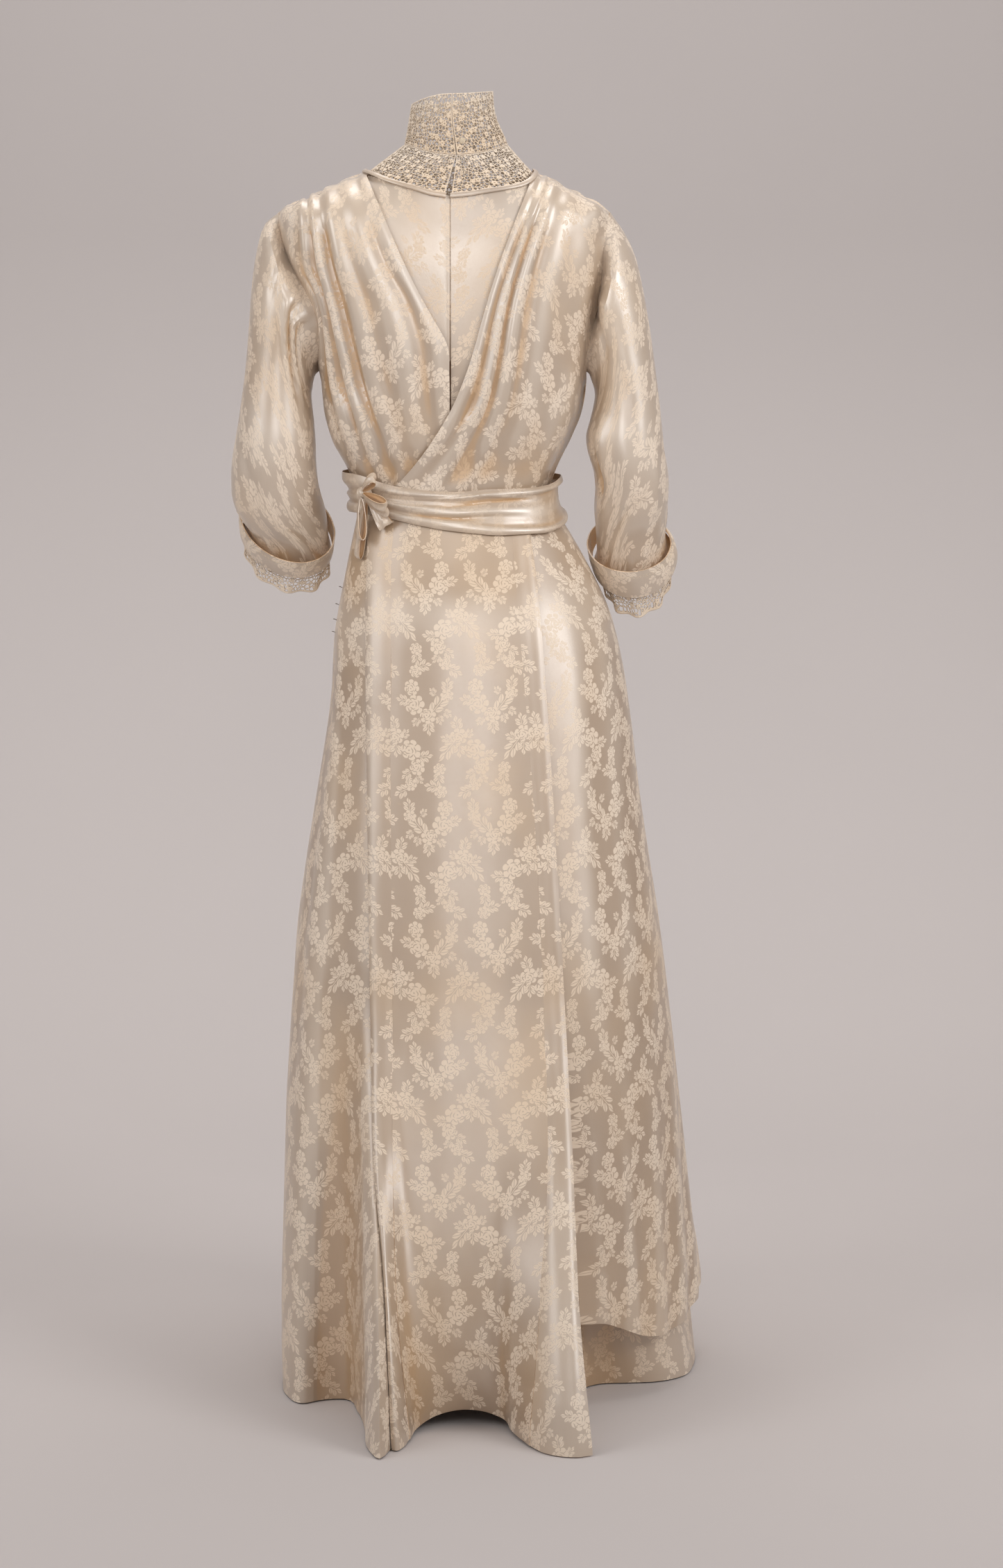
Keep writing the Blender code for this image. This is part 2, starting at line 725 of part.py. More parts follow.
BODICE_ROW_POWER = 1.45


def bodice_back(name, lines, side, layer, rows):
    """A draped back, with a column for each crest and trough and one for its armhole edge."""
    places = list(lines.keys) if side == "left" else list(lines.keys)[::-1]
    tops = [top_height(lines.at("top", place)) for place in places]
    tables = [bodice_line(lines, place, top) for place, top in zip(places, tops)]
    lifts = [0.0] + [lines.at("lift", place) for place in places]
    grid = []
    for r in range(rows):
        share = (r / (rows - 1)) ** BODICE_ROW_POWER
        edge_height = mix(ARMHOLE_TOP, WAIST_HEIGHT + SEAM_GAP, share)
        heights = [edge_height] + [mix(top, WAIST_HEIGHT + SEAM_GAP, share) for top in tops]
        xs = [side_edge(side, "back", edge_height)]
        for i, (table, height) in enumerate(zip(tables, heights[1:])):
            x = table.at("x", height)
            limit = abs(side_edge(side, "back", min(height, ARMHOLE_TOP - 1.0))) - 3.0 * (i + 1)
            if height < ARMHOLE_TOP:
                x = math.copysign(min(abs(x), limit), x) if i < 4 else x
            xs.append(x)
        fade = mix(0.5, 1.0, ease(share * 4)) * mix(1.0, 0.15, ease((share - 0.68) / 0.25))
        row = []
        for x, height, lift in zip(xs, heights, settle(xs, lifts)):
            if side == "left":
                lift *= 1.0 - 0.8 * lapped(x, height)
            angle = TORSO.back_angle(x, height)
            row.append(TORSO.off(angle, height, layer(x, height) + lift * fade, -SHOULDER_GAP))
        grid.append(row)
    return cloth(name, grid, SILK_THICKNESS, silk())


def back_vest(name, side, reach, bottom, columns=6, rows=10):
    """The flat piece under the drapes, from the centre back out to below the drape's edge."""
    sign = 1.0 if side == "right" else -1.0
    lines = RIGHT_BACK_LINES if side == "right" else LEFT_BACK_LINES
    place = 1 if side == "right" else 12
    edge = bodice_line(lines, place, top_height(lines.at("top", place)))
    top_reach = abs(lines.at("top", place)) - 2.5
    grid = []
    for r in range(rows):
        row = []
        for c in range(columns + 1):
            share = c / columns
            top_x = sign * mix(SEAM_GAP, top_reach, share)
            top = top_height(top_x)
            height = mix(top, bottom, (r / (rows - 1)) ** BODICE_ROW_POWER)
            far = abs(edge.at("x", height)) + reach if sign * edge.at("x", height) > 0 else reach
            far = min(far, top_reach)
            x = sign * mix(SEAM_GAP, far, share)
            row.append(TORSO.off(TORSO.back_angle(x, height), height, VEST_LAYER, -SHOULDER_GAP))
        grid.append(row)
    return cloth(name, grid, SILK_THICKNESS, silk())


def bodice_front(rows=14):
    """The plain front from side seam to side seam, gathered a little at the shoulders."""
    tips = [side_edge(side, "front", ARMHOLE_TOP) for side in ("left", "right")]
    shares = [0.0] + list(FRONT_LINES.values["top_share"]) + [1.0]
    ends = [0.0] + list(FRONT_LINES.values["waist_share"]) + [1.0]
    lifts = [0.0] + list(FRONT_LINES.values["lift"]) + [0.0]
    tops = [ARMHOLE_TOP]
    tops += [top_height(mix(tips[0], tips[1], share), "front") for share in shares[1:-1]]
    tops += [ARMHOLE_TOP]
    grid = []
    for r in range(rows):
        down = (r / (rows - 1)) ** BODICE_ROW_POWER
        heights = [mix(top, WAIST_HEIGHT + SEAM_GAP, down) for top in tops]
        xs = []
        for share, end, height in zip(shares, ends, heights):
            left = side_edge("left", "front", min(height, ARMHOLE_TOP))
            right = side_edge("right", "front", min(height, ARMHOLE_TOP))
            xs.append(mix(left, right, mix(share, end, ease(down * 1.2))))
        fade = 1.0 - ease((down - 0.1) / 0.5) * 0.6
        row = []
        for x, height, lift in zip(xs, heights, settle(xs, lifts, 12.0)):
            angle = 180.0 - TORSO.back_angle(x, height)
            row.append(TORSO.off(angle, height, OVER_LAYER + lift * fade, SHOULDER_GAP))
        grid.append(row)
    return cloth("bodice_front", grid, SILK_THICKNESS, silk())


def skirt_heights(bottom, rows):
    """Levels from the waist to the hem, closer together near the floor."""
    return [mix(WAIST_HEIGHT - SEAM_GAP, bottom, (r / (rows - 1)) ** 0.92) for r in range(rows)]


FLUTE_HEIGHT = 430.0


def spread(layers, height):
    """Distance of a layer from the form: close at the waist and loose below the sash."""
    return mix(layers[0], layers[1], ease((WAIST_HEIGHT - 25.0 - height) / SPREAD_DEPTH))


def flute(height):
    """Share of the way from the form to the measured hem point."""
    return max(0.0, (FLUTE_HEIGHT - height) / FLUTE_HEIGHT) ** 1.6


def panel_strip(name, lines, rows=20):
    """A part of the skirt's back: upright lines on the form that swing out into the train."""
    levels = {"at_900": 900, "at_550": 550, "at_300": 300, "at_150": 150}
    grid = []
    tables = []
    for place in lines.keys:
        points = [(WAIST_HEIGHT, lines.at("at_waist", place)), (0, lines.at("floor_x", place))]
        points += [(height, lines.at(column, place)) for column, height in levels.items()]
        tables.append(Table("height x", *points))
    for r, level in enumerate(skirt_heights(0.0, rows)):
        row = []
        for place, line in zip(lines.keys, tables):
            rise = lines.at("rise", place)
            height = level + (rise + 0.8) * max(0.0, 1.0 - level / 160.0)
            x = line.at("x", level)
            angle = SKIRT.back_angle(x, height)
            lift = lines.at("lift", place) * ease((1000.0 - height) / 90.0)
            point = SKIRT.off(angle, height, spread(PANEL_LAYERS, level) + lift)
            point[1] -= TRAIN.at("swing", level)
            hem_y = -lines.at("behind", place)
            point[1] = mix(point[1], hem_y, flute(level))
            point[2] = height
            row.append(point)
        grid.append(row)
    return cloth(name, grid, SILK_THICKNESS, silk())


def gore(name, lines, rows=16):
    """A gore of the skirt: lines by angle, drawn out to the flutes of the hem where they reach."""
    tables = []
    for place in lines.keys:
        points = [(WAIST_HEIGHT, lines.at("at_waist", place)), (550, lines.at("at_550", place))]
        points.append((0, lines.at("at_floor", place)))
        tables.append(Table("height angle", *points))
    grid = []
    for level in skirt_heights(0.0, rows):
        row = []
        for place, line in zip(lines.keys, tables):
            height = level + 0.8 * max(0.0, 1.0 - level / 100.0)
            lift = lines.at("lift", place) * math.sin(math.pi * (1 - level / WAIST_HEIGHT)) ** 2
            point = SKIRT.off(line.at("angle", level), height, UNDER_LAYER + lift)
            point[1] -= TRAIN.at("swing", level) * lines.at("train", place)
            share = flute(level) * lines.at("reach", place)
            point[0] = mix(point[0], lines.at("floor_x", place), share)
            point[1] = mix(point[1], -lines.at("behind", place), share)
            point[2] = height
            row.append(point)
        grid.append(row)
    return cloth(name, grid, SILK_THICKNESS, silk())


def overskirt(rows=17):
    """The tunic on the right, from under the back panel round to its slanting front edge."""
    first = OVERSKIRT_START
    shares = OVERSKIRT_LINES.keys
    hem_ends = first.at("angle", 60), OVERSKIRT_EDGE.at("angle", 60)
    hem = [OVERSKIRT_HEM.at("height", mix(*hem_ends, share)) for share in shares]
    grid = []
    for r in range(rows):
        down = (r / (rows - 1)) ** 0.95
        row = []
        for share, low in zip(shares, hem):
            height = mix(WAIST_HEIGHT - SEAM_GAP, low, down)
            angle = mix(first.at("angle", height), OVERSKIRT_EDGE.at("angle", height), share)
            lift = OVERSKIRT_LINES.at("lift", share) * ease(down * 4) * (1 - ease((down - 0.6) / 0.4))
            lift += OVERSKIRT_LINES.at("hem_lift", share) * ease((down - 0.45) / 0.55)
            clear = 3.0 * ease((down - 0.4) / 0.5)
            point = SKIRT.off(angle, height, spread(OVERSKIRT_LAYERS, height) + clear + lift)
            point[2] = height
            row.append(point)
        grid.append(row)
    return cloth("overskirt_right", grid, SILK_THICKNESS, silk())


def section_point(table, section, turn, grow=0.0):
    """A point on a sleeve section: turn 0 is farthest from the body, 90 is its back."""
    inner = np.array([table.at("inner_x", section), 0.0, table.at("inner_z", section)])
    outer = np.array([table.at("outer_x", section), 0.0, table.at("outer_z", section)])
    middle = 0.5 * (inner + outer)
    middle[1] = table.at("middle_y", section)
    half = 0.5 * (outer - inner)
    half *= 1 + grow / np.linalg.norm(half)
    lean = math.radians(table.at("lean", section))
    depth = table.at("half_depth", section) + grow
    back = np.array([0.0, -math.cos(lean), -math.sin(lean)]) * depth
    turn = math.radians(turn)
    return middle + half * math.cos(turn) + back * math.sin(turn)


def armhole_point(side, turn):
    """A point on the armhole: turn 0 is the shoulder tip, 90 the back edge, 180 the underarm."""
    sign = 1.0 if side == "right" else -1.0
    middle, reach = 0.5 * (ARMHOLE_TOP + ARMHOLE_BOTTOM), 0.5 * (ARMHOLE_TOP - ARMHOLE_BOTTOM)
    height = middle + reach * math.cos(math.radians(turn))
    face = "back" if 0 < turn < 180 else "front"
    x = ARMHOLE.at(f"{side}_{face}", height)
    angle = TORSO.back_angle(x, height)
    shift = -SHOULDER_GAP
    if face == "front":
        angle, shift = 180.0 - angle, SHOULDER_GAP
    point = TORSO.off(angle, height, OVER_LAYER, shift)
    point[0] += sign * 2.2
    point[2] -= 2.4 * ease((turn_from_top(turn) - 110) / 60.0)
    return point


def turn_from_top(turn):
    return min(turn % 360, 360 - turn % 360)


def sleeve(name, side, table, around=22, rows=16):
    """A set-in sleeve lofted from its armhole through its sections."""
    last = table.keys[-1]
    grid = []
    for r in range(rows):
        place = last * (r / (rows - 1)) ** 0.9
        row = []
        for k in range(around):
            turn = 360.0 * k / around
            if place < 1.0:
                start, end = armhole_point(side, turn), section_point(table, 1, turn)
                point = mix(start, end, place)
            else:
                point = section_point(table, place, turn)
            row.append(point)
        grid.append(row)
    return cloth(name, grid, SILK_THICKNESS, silk(), closed=True)


def cuff(name, table, around=22, rows=4):
    """A turned-back cuff: a flared band with its free edge uppermost."""
    places = [mix(1, table.keys[-1], r / (rows - 1)) for r in range(rows)]
    turns = [360.0 * k / around for k in range(around)]
    grid = [[section_point(table, place, turn) for turn in turns] for place in places]
    return cloth(name, grid, CUFF_THICKNESS, silk(), closed=True)


def frill(name, table, first_turn, around=14):
    """Half a lace frill, waved at its free edge and cut through along its open row."""
    rows = 4
    span = 180.0 - 1.2
    grid = []
    for r in range(rows):
        place = mix(1, table.keys[-1], r / (rows - 1))
        row = []
        for k in range(around + 1):
            turn = first_turn + 0.6 + span * k / around
            wave = FRILL_WAVE_HEIGHT * (r / (rows - 1)) * math.sin(math.radians(turn * FRILL_WAVES))
            row.append(section_point(table, place, turn, wave))
        grid.append(row)
    skip = (around - FRILL_GAPS_EACH_HALF) // 2
    gaps = {(1, c) for c in range(skip, skip + FRILL_GAPS_EACH_HALF)}
    return cloth(name, grid, LACE_THICKNESS, lace(), gaps=gaps)


def collar_point(ring, turn):
    """A point on the lace collar: turn 0 is the centre back, 90 the wearer's right."""
    sine, cosine = math.sin(math.radians(turn)), math.cos(math.radians(turn))
    x = COLLAR.at("centre_x", ring) + COLLAR.at("half_width", ring) * sine
    y = COLLAR.at("centre_y", ring) - COLLAR.at("half_depth", ring) * cosine
    side = COLLAR.at("right_z" if sine > 0 else "left_z", ring)
    end = COLLAR.at("back_z" if cosine > 0 else "front_z", ring)
    return np.array([x, y, mix(side, end, cosine * cosine)])


def collar_half(name, first, last, around=12, rows=5):
    grid = [
        [collar_point(mix(4, 1, r / (rows - 1)), mix(first, last, k / around)) for k in range(around + 1)]
        for r in range(rows)
    ]
    return cloth(name, grid, LACE_THICKNESS, lace())


def neck_edge_point(angle, layer, inset):
    """A point off the neckline: inset is how far down the form it lies from the edge."""
    height = NECKLINE.at("height", angle if angle >= -90.0 else angle + 360.0)
    step = np.linalg.norm(TORSO.point(angle, height + 1.0) - TORSO.point(angle, height - 1.0)) / 2
    return TORSO.off(angle, height - inset / step, layer)


def yoke(name, first, last, around, rows=4):
    """Part of the lace yoke: from just above the neckline's edge up to the foot of the collar."""
    grid = []
    for r in range(rows):
        row = []
        for k in range(around + 1):
            angle = mix(first, last, k / around)
            foot = collar_point(1, angle) - np.array([0, 0, 1.2])
            rim = neck_edge_point(angle, YOKE_LAYER, -2.0)
            row.append(mix(foot, rim, r / (rows - 1)))
        grid.append(row)
    return cloth(name, grid, LACE_THICKNESS, lace())


def binding(around=40):
    """The narrow bias edge lying over the neckline's seam, open at the centre back."""
    grid = []
    for inset in (-2.6, 2.4):
        row = []
        for k in range(around + 1):
            angle = mix(0.6, 359.4, k / around)
            from_back = min(angle, 360.0 - angle)
            layer = mix(*BINDING_LAYERS, ease((from_back - 32.0) / 20.0))
            row.append(neck_edge_point(angle - 360.0 if angle > 270.0 else angle, layer, inset))
        grid.append(row)
    return cloth("neck_binding", grid, BINDING_THICKNESS, silk())


def waist_point(angle, height, distance):
    """A point off the waist: the bodice's form above the waist seam, the skirt's below it."""
    form = TORSO if height >= WAIST_HEIGHT else SKIRT
    point = form.point(angle, height)
    level = TORSO.outward(angle, WAIST_HEIGHT)
    level[2] = 0.0
    return point + level / np.linalg.norm(level) * distance


def sash(around=40):
    """The draped sash round the waist, its folds worked across its width."""
    shares = SASH_FOLDS.keys
    grid = []
    for share in shares[::-1]:
        row = []
        for k in range(around):
            angle = -180.0 + 360.0 * k / around
            low, high = SASH_EDGES.at("low", angle), SASH_EDGES.at("high", angle)
            row.append(waist_point(angle, mix(low, high, share), SASH_LAYER + SASH_FOLDS.at("out", share)))
        grid.append(row)
    return cloth("sash", grid, SILK_THICKNESS, silk(), closed=True)


def knot_frame():
    """Place and directions of the sash knot: out of the sash, to the right along it, and up."""
    x, height = KNOT_PLACE
    angle = TORSO.back_angle(x, height)
    out = TORSO.outward(angle, WAIST_HEIGHT)
    out[2] = 0.0
    out /= np.linalg.norm(out)
    up = np.array([0.0, 0.0, 1.0])
    across = np.cross(up, -out)
    place = TORSO.point(angle, height) + out * (SASH_LAYER + 4.7)
    return place, out, across, up


def sash_loop(row, steps=12):
    """One ribbon loop of the knot: a flat teardrop band folded back on itself."""
    place, out, across, up = knot_frame()
    direction = math.radians(LOOPS.at("direction", row))
    along = across * math.cos(direction) + up * math.sin(direction)
    wide = np.cross(out, along)
    length, width = LOOPS.at("length", row), LOOPS.at("width", row)
    bulge, start = LOOPS.at("bulge", row), LOOPS.at("start", row)
    made = []
    for share in (-0.5, 0.0, 0.5):
        ring = []
        for k in range(steps):
            turn = 2 * math.pi * k / steps
            reach = 0.5 - 0.5 * math.cos(turn)
            spread = mix(0.3, 1.0, reach ** 0.7)
            away = bulge * math.sin(turn) * mix(0.5, 1.0, reach) + LOOPS.at("stand_off", row)
            point = place + along * (start + length * reach) + out * away + wide * (share * width * spread)
            ring.append(point)
        made.append(ring)
    return cloth(f"sash_loop_{row}", made, SILK_THICKNESS, silk(), closed=True)


def sash_knot():
    """The small wrapped knot that the loops come out of."""
    place, out, across, up = knot_frame()
    half_width, half_height, half_depth = 6.0, 6.5, 9.6
    middle = place + out * (half_depth - 2.9)
    made = bmesh.new()
    bmesh.ops.create_uvsphere(made, u_segments=12, v_segments=8, radius=1.0)
    for vertex in made.verts:
        point = middle + across * vertex.co.x * half_width
        point = point + out * vertex.co.y * half_depth + up * vertex.co.z * half_height
        vertex.co = (point[0] * MM, point[1] * MM, (point[2] - SHOULDER_HEIGHT) * MM)
    return finish_object("sash_knot", made, silk())


def build():
    """Every piece of the gown, from the neck down."""
    for item in list(bpy.data.objects):
        bpy.data.objects.remove(item, do_unlink=True)

    collar_half("lace_collar_right", 0.4, 179.7)
    collar_half("lace_collar_left", -0.4, -179.7)
    yoke("lace_yoke_back_right", 0.4, 89.7, around=6)
    yoke("lace_yoke_back_left", -0.4, -89.7, around=6)
    yoke("lace_yoke_front", 90.3, 269.7, around=12)
    binding()

    back_vest("back_vest_right", "right", reach=18.0, bottom=1078.0)
    back_vest("back_vest_left", "left", reach=18.0, bottom=1140.0)
    bodice_back("back_drape_left", LEFT_BACK_LINES, "left", lambda x, height: OVER_LAYER, rows=15)
    bodice_back("back_drape_right", RIGHT_BACK_LINES, "right", lap_layer, rows=15)
    bodice_front()

    sleeve("sleeve_left", "left", LEFT_SLEEVE)
    sleeve("sleeve_right", "right", RIGHT_SLEEVE)
    cuff("cuff_left", LEFT_CUFF)
    cuff("cuff_right", RIGHT_CUFF)
    frill("cuff_lace_left_back", LEFT_FRILL, 0.0)
    frill("cuff_lace_left_front", LEFT_FRILL, 180.0)
    frill("cuff_lace_right_back", RIGHT_FRILL, 0.0)
    frill("cuff_lace_right_front", RIGHT_FRILL, 180.0)

    panel_strip("skirt_back", BACK_PANEL_LINES)
    panel_strip("skirt_pleat_left", LEFT_PLEAT_LINES)
    panel_strip("skirt_pleat_right", RIGHT_PLEAT_LINES)
    gore("skirt_left", LEFT_GORE_LINES)
    gore("skirt_right", RIGHT_GORE_LINES)
    gore("skirt_front", FRONT_GORE_LINES)
    overskirt()

    sash()
    sash_knot()
    for row in LOOPS.keys.astype(int):
        sash_loop(int(row))


build()
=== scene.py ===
"""Looks of the tea gown: its figured silk, lace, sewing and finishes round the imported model.

The gown's back faces -Y, the wearer's right is +X and +Z is up. Sizes in the tables are
millimetres. Heights in them are measured up from the floor, and are lowered by SHOULDER_HEIGHT
when a mesh is made, because the model's origin lies between the shoulders.
"""

import json
import logging
import math
from dataclasses import dataclass
from enum import Enum

import bmesh
import bpy
import numpy as np
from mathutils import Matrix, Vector

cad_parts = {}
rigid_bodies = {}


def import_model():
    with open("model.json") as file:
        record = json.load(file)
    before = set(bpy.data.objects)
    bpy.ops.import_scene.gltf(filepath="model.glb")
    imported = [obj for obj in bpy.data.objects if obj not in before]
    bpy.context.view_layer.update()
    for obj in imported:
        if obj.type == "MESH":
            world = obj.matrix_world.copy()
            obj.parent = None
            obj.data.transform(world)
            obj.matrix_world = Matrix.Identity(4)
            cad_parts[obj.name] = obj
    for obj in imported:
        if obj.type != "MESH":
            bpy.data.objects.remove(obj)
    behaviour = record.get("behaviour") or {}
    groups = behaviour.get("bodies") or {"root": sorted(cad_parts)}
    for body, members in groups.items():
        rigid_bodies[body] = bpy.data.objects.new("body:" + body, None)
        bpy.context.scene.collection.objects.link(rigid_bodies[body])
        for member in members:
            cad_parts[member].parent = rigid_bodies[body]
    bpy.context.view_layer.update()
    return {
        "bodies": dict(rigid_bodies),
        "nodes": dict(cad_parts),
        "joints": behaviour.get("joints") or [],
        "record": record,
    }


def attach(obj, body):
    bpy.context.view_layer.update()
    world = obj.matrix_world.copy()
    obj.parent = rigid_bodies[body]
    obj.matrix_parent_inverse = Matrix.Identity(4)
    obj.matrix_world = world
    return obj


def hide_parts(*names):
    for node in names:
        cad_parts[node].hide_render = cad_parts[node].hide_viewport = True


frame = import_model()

LOG = logging.getLogger("tea_gown")

Array = np.ndarray
Draft = bmesh.types.BMesh
Mesh = bpy.types.Mesh
Piece = bpy.types.Object
Socket = bpy.types.NodeSocket

MM = 0.001
SHOULDER_HEIGHT = 1340.0
WAIST_HEIGHT = 985.0
SEAM_GAP = 0.5
SHOULDER_GAP = 0.45

SILK_THICKNESS = 0.7
LACE_THICKNESS = 1.1

# Distance from the inside of the gown to the middle of each layer of cloth.
YOKE_LAYER = 1.0
YOKE_INSET = -2.0
VEST_LAYER = -0.6
UNDER_LAYER = 0.6
OVER_LAYER = 2.4
LAP_LAYER = 8.0
SASH_LAYER = 12.6
KNOT_LAYER = SASH_LAYER + 4.7
OVERSKIRT_LAYERS = (3.4, 7.0)
PANEL_LAYERS = (6.2, 11.0)
BINDING_LAYERS = (2.6, 5.4)
SPREAD_DEPTH = 110.0
SEAM_ALLOWANCE = 10.0


class Side(Enum):
    """A side of the gown, as its wearer has it."""

    LEFT = "left"
    RIGHT = "right"

    @property
    def sign(self) -> float:
        """1 towards the wearer's right and -1 towards the left."""
        return 1.0 if self is Side.RIGHT else -1.0


class Face(Enum):
    """The back or the front of the gown."""

    BACK = "back"
    FRONT = "front"


class Held(Enum):
    """How a piece of cloth is held."""

    HUNG = "hung"
    GATHERED = "gathered"
    DRAPED = "draped"
    FOLDED = "folded"
    STRETCHED = "stretched"


class Table:
    """Rows of sizes under named columns, read smoothly between rows by the first column."""

    def __init__(self, columns: str, *rows: tuple) -> None:
        """Sort the rows by their first size and work out the slope at each.

        Args:
            columns: The names of the columns, parted by spaces.
            rows: One tuple of sizes for each row.
        """
        sizes = np.array(sorted(rows), float).T
        self.keys = sizes[0]
        self.values = dict(zip(columns.split(), sizes))
        self.slopes = {name: self.find_slopes(column) for name, column in self.values.items()}

    @classmethod
    def read(cls, columns: str, text: str) -> "Table":
        """A table from text with one row of sizes on each line."""
        return cls(columns, *(tuple(map(float, row.split())) for row in text.split("\n") if row))

    def find_slopes(self, values: Array) -> Array:
        """Slopes at the rows, flat at each turn so that a reading never overshoots its rows.

        Args:
            values: One column's sizes.

        Returns:
            A slope for each row.
        """
        chords = np.diff(values) / np.diff(self.keys)
        slopes = np.zeros(len(values))
        slopes[0], slopes[-1] = chords[0], chords[-1]
        for i in range(1, len(values) - 1):
            before, after = chords[i - 1], chords[i]
            if before * after > 0:
                slopes[i] = 2 * before * after / (before + after)
        return slopes

    def at(self, column: str, key: float) -> float:
        """The size in a column at any key; past the ends it stays at the end row.

        Args:
            column: The column's name.
            key: A place along the first column.

        Returns:
            The size there.
        """
        keys, values, slopes = self.keys, self.values[column], self.slopes[column]
        if key <= keys[0]:
            return values[0]
        if key >= keys[-1]:
            return values[-1]
        i = int(np.searchsorted(keys, key) - 1)
        span = keys[i + 1] - keys[i]
        t = (key - keys[i]) / span
        rise = values[i + 1] - values[i]
        start, end = slopes[i] * span, slopes[i + 1] * span
        return values[i] + t * (start + t * ((3 * rise - 2 * start - end) + t * (start + end - 2 * rise)))


def ease(t):
    """A soft step from 0 to 1, for a number or an array."""
    t = np.clip(t, 0.0, 1.0)
    return t * t * (3 - 2 * t)


def mix(a, b, t):
    """The place a share t of the way from a to b."""
    return a + (b - a) * t


def polar(angle: float) -> tuple[float, float]:
    """The sine and the cosine of an angle in degrees."""
    return math.sin(math.radians(angle)), math.cos(math.radians(angle))


def shares(count: int, power: float = 1.0) -> list:
    """So many shares from 0 to 1; a power above 1 brings them closer together near 0."""
    return [(step / (count - 1)) ** power for step in range(count)]


def turns(count: int) -> list:
    """So many angles in degrees, evenly all the way round."""
    return [360.0 * step / count for step in range(count)]


def lofted(downs: list, acrosses: list, point) -> Array:
    """A grid of points, worked out by a function of the place down and the place across."""
    return np.array([[point(down, across) for across in acrosses] for down in downs])


class Form:
    """The hollow that the gown keeps: level slices, each a rounded oval round the body."""

    def __init__(self, slices: Table, squareness: float) -> None:
        """Keep the slices and the power that rounds their corners."""
        self.slices = slices
        self.power = 2.0 / squareness

    def extents(self, height: float) -> tuple[float, float]:
        """Half width and centre of the slice at a height."""
        left, right = self.slices.at("left", height), self.slices.at("right", height)
        return 0.5 * (right - left), 0.5 * (right + left)

    def point(self, angle: float, height: float, side_shift: float = 0.0) -> Array:
        """A point of the form.

        Args:
            angle: 0 is the centre back, 90 the wearer's right, 180 the centre front.
            height: Height above the floor.
            side_shift: Shift towards the front.

        Returns:
            The point.
        """
        centre, half = self.extents(height)
        sine, cosine = polar(angle)
        across = math.copysign(abs(sine) ** self.power, sine)
        along = abs(cosine) ** self.power
        left_y, right_y = self.slices.at("left_y", height), self.slices.at("right_y", height)
        side_y = mix(left_y, right_y, 0.5 + 0.5 * across)
        edge = -self.slices.at("back", height) if cosine > 0 else self.slices.at("front", height)
        return np.array([centre + half * across, mix(side_y, edge, along) + side_shift, height])

    def outward(self, angle: float, height: float) -> Array:
        """The direction straight out of the form's surface.

        Args:
            angle: Angle round the form.
            height: Height above the floor.

        Returns:
            A direction of length 1.
        """
        around = self.point(angle + 0.5, height) - self.point(angle - 0.5, height)
        up = self.point(angle, height + 1.0) - self.point(angle, height - 1.0)
        normal = np.cross(around, up)
        return normal / np.linalg.norm(normal)

    def off(self, angle: float, height: float, distance: float, side_shift: float = 0.0) -> Array:
        """A point a distance off the form's surface."""
        return self.point(angle, height, side_shift) + self.outward(angle, height) * distance

    def back_angle(self, x: float, height: float) -> float:
        """The angle of the point of the back that lies x across from the axis.

        Args:
            x: Place across from the axis.
            height: Height above the floor.

        Returns:
            The angle round the form.
        """
        centre, half = self.extents(height)
        reach = min(abs(x - centre) / half, 1.0)
        return math.copysign(math.degrees(math.asin(reach ** (1 / self.power))), x - centre)


TORSO = Form(Table.read("height left right back front left_y right_y", """
940 112 134 90 100 0 0
962 106 120 81 94 0 0
985 101 106 75 88 0 0
1010 110 114 77 92 0 0
1027 121 121 81 98 0 0
1049 132 132 87 106 0 0
1080 140 145 94 113 0 0
1112 143 150 99 115 0 0
1135 148 152 102 112 0 0
1180 160 160 104 104 -1 -1
1230 175 170 103 92 -4 -4
1270 187 176 99 80 -8 -8
1302 191 177 93 67 -12 -12
1313 167 159 91 62 -12 -12
1324 142 137 89 57 -11 -11
1335 118 115 87 52 -9 -9
1346 94 92 84 47 -6 -6
1360 62 61 80 42 -2 -2"""), squareness=2.3)

SKIRT = Form(Table.read("height left right back front left_y right_y", """
0 190 278 268 165 -185 -65
60 192 272 263 163 -170 -57
120 190 267 257 161 -155 -50
200 187 257 248 158 -135 -42
300 184 248 236 154 -112 -34
400 178 240 220 150 -90 -27
500 171 229 202 146 -70 -20
600 158 214 180 141 -50 -13
700 143 201 158 136 -32 -7
772 134 191 142 130 -20 -3
820 132 182 131 124 -13 0
857 128 172 121 118 -8 0
886 122 160 111 112 -4 0
918 115 145 99 106 -2 0
937 112 134 91 100 0 0
960 106 120 82 94 0 0
985 101 106 75 88 0 0"""), squareness=2.2)

# How far the back panel stands behind the gores as it falls into the train.
TRAIN = Table.read("height swing", """
0 128
50 108
100 88
200 52
300 25
400 9
500 2
600 0""")

# The armhole: its ends, and how far the sleeve is sewn beyond its edge and below its foot.
ARMHOLE_BOTTOM, ARMHOLE_TOP = 1130.0, 1302.0
ARMHOLE_OVERLAP, UNDERARM_DROP = 0.3, 2.4

ARMHOLE = Table.read("height left_back left_front right_back right_front", """
1130 -148 -148 151 151
1140 -147 -146 150 149
1160 -146 -140 153 146
1181 -147 -138 158 146
1208 -156 -142 165 150
1236 -171 -151 167 156
1262 -183 -164 168 163
1285 -189 -178 172 170
1302 -191 -191 177 177""")

# The neckline by angle round the form, from the left shoulder round the back to the left again.
NECKLINE = Table.read("angle height", """
-90 1346
-66 1344
-44 1340
-25 1334
-12 1328
0 1321
15 1326
26 1329
37 1332
66 1342
90 1346
105 1344.5
121 1342
139 1337
152 1331
164 1324
172 1319
180 1317
188 1319
196 1324
208 1331
221 1337
239 1342
255 1344.5
270 1346""")

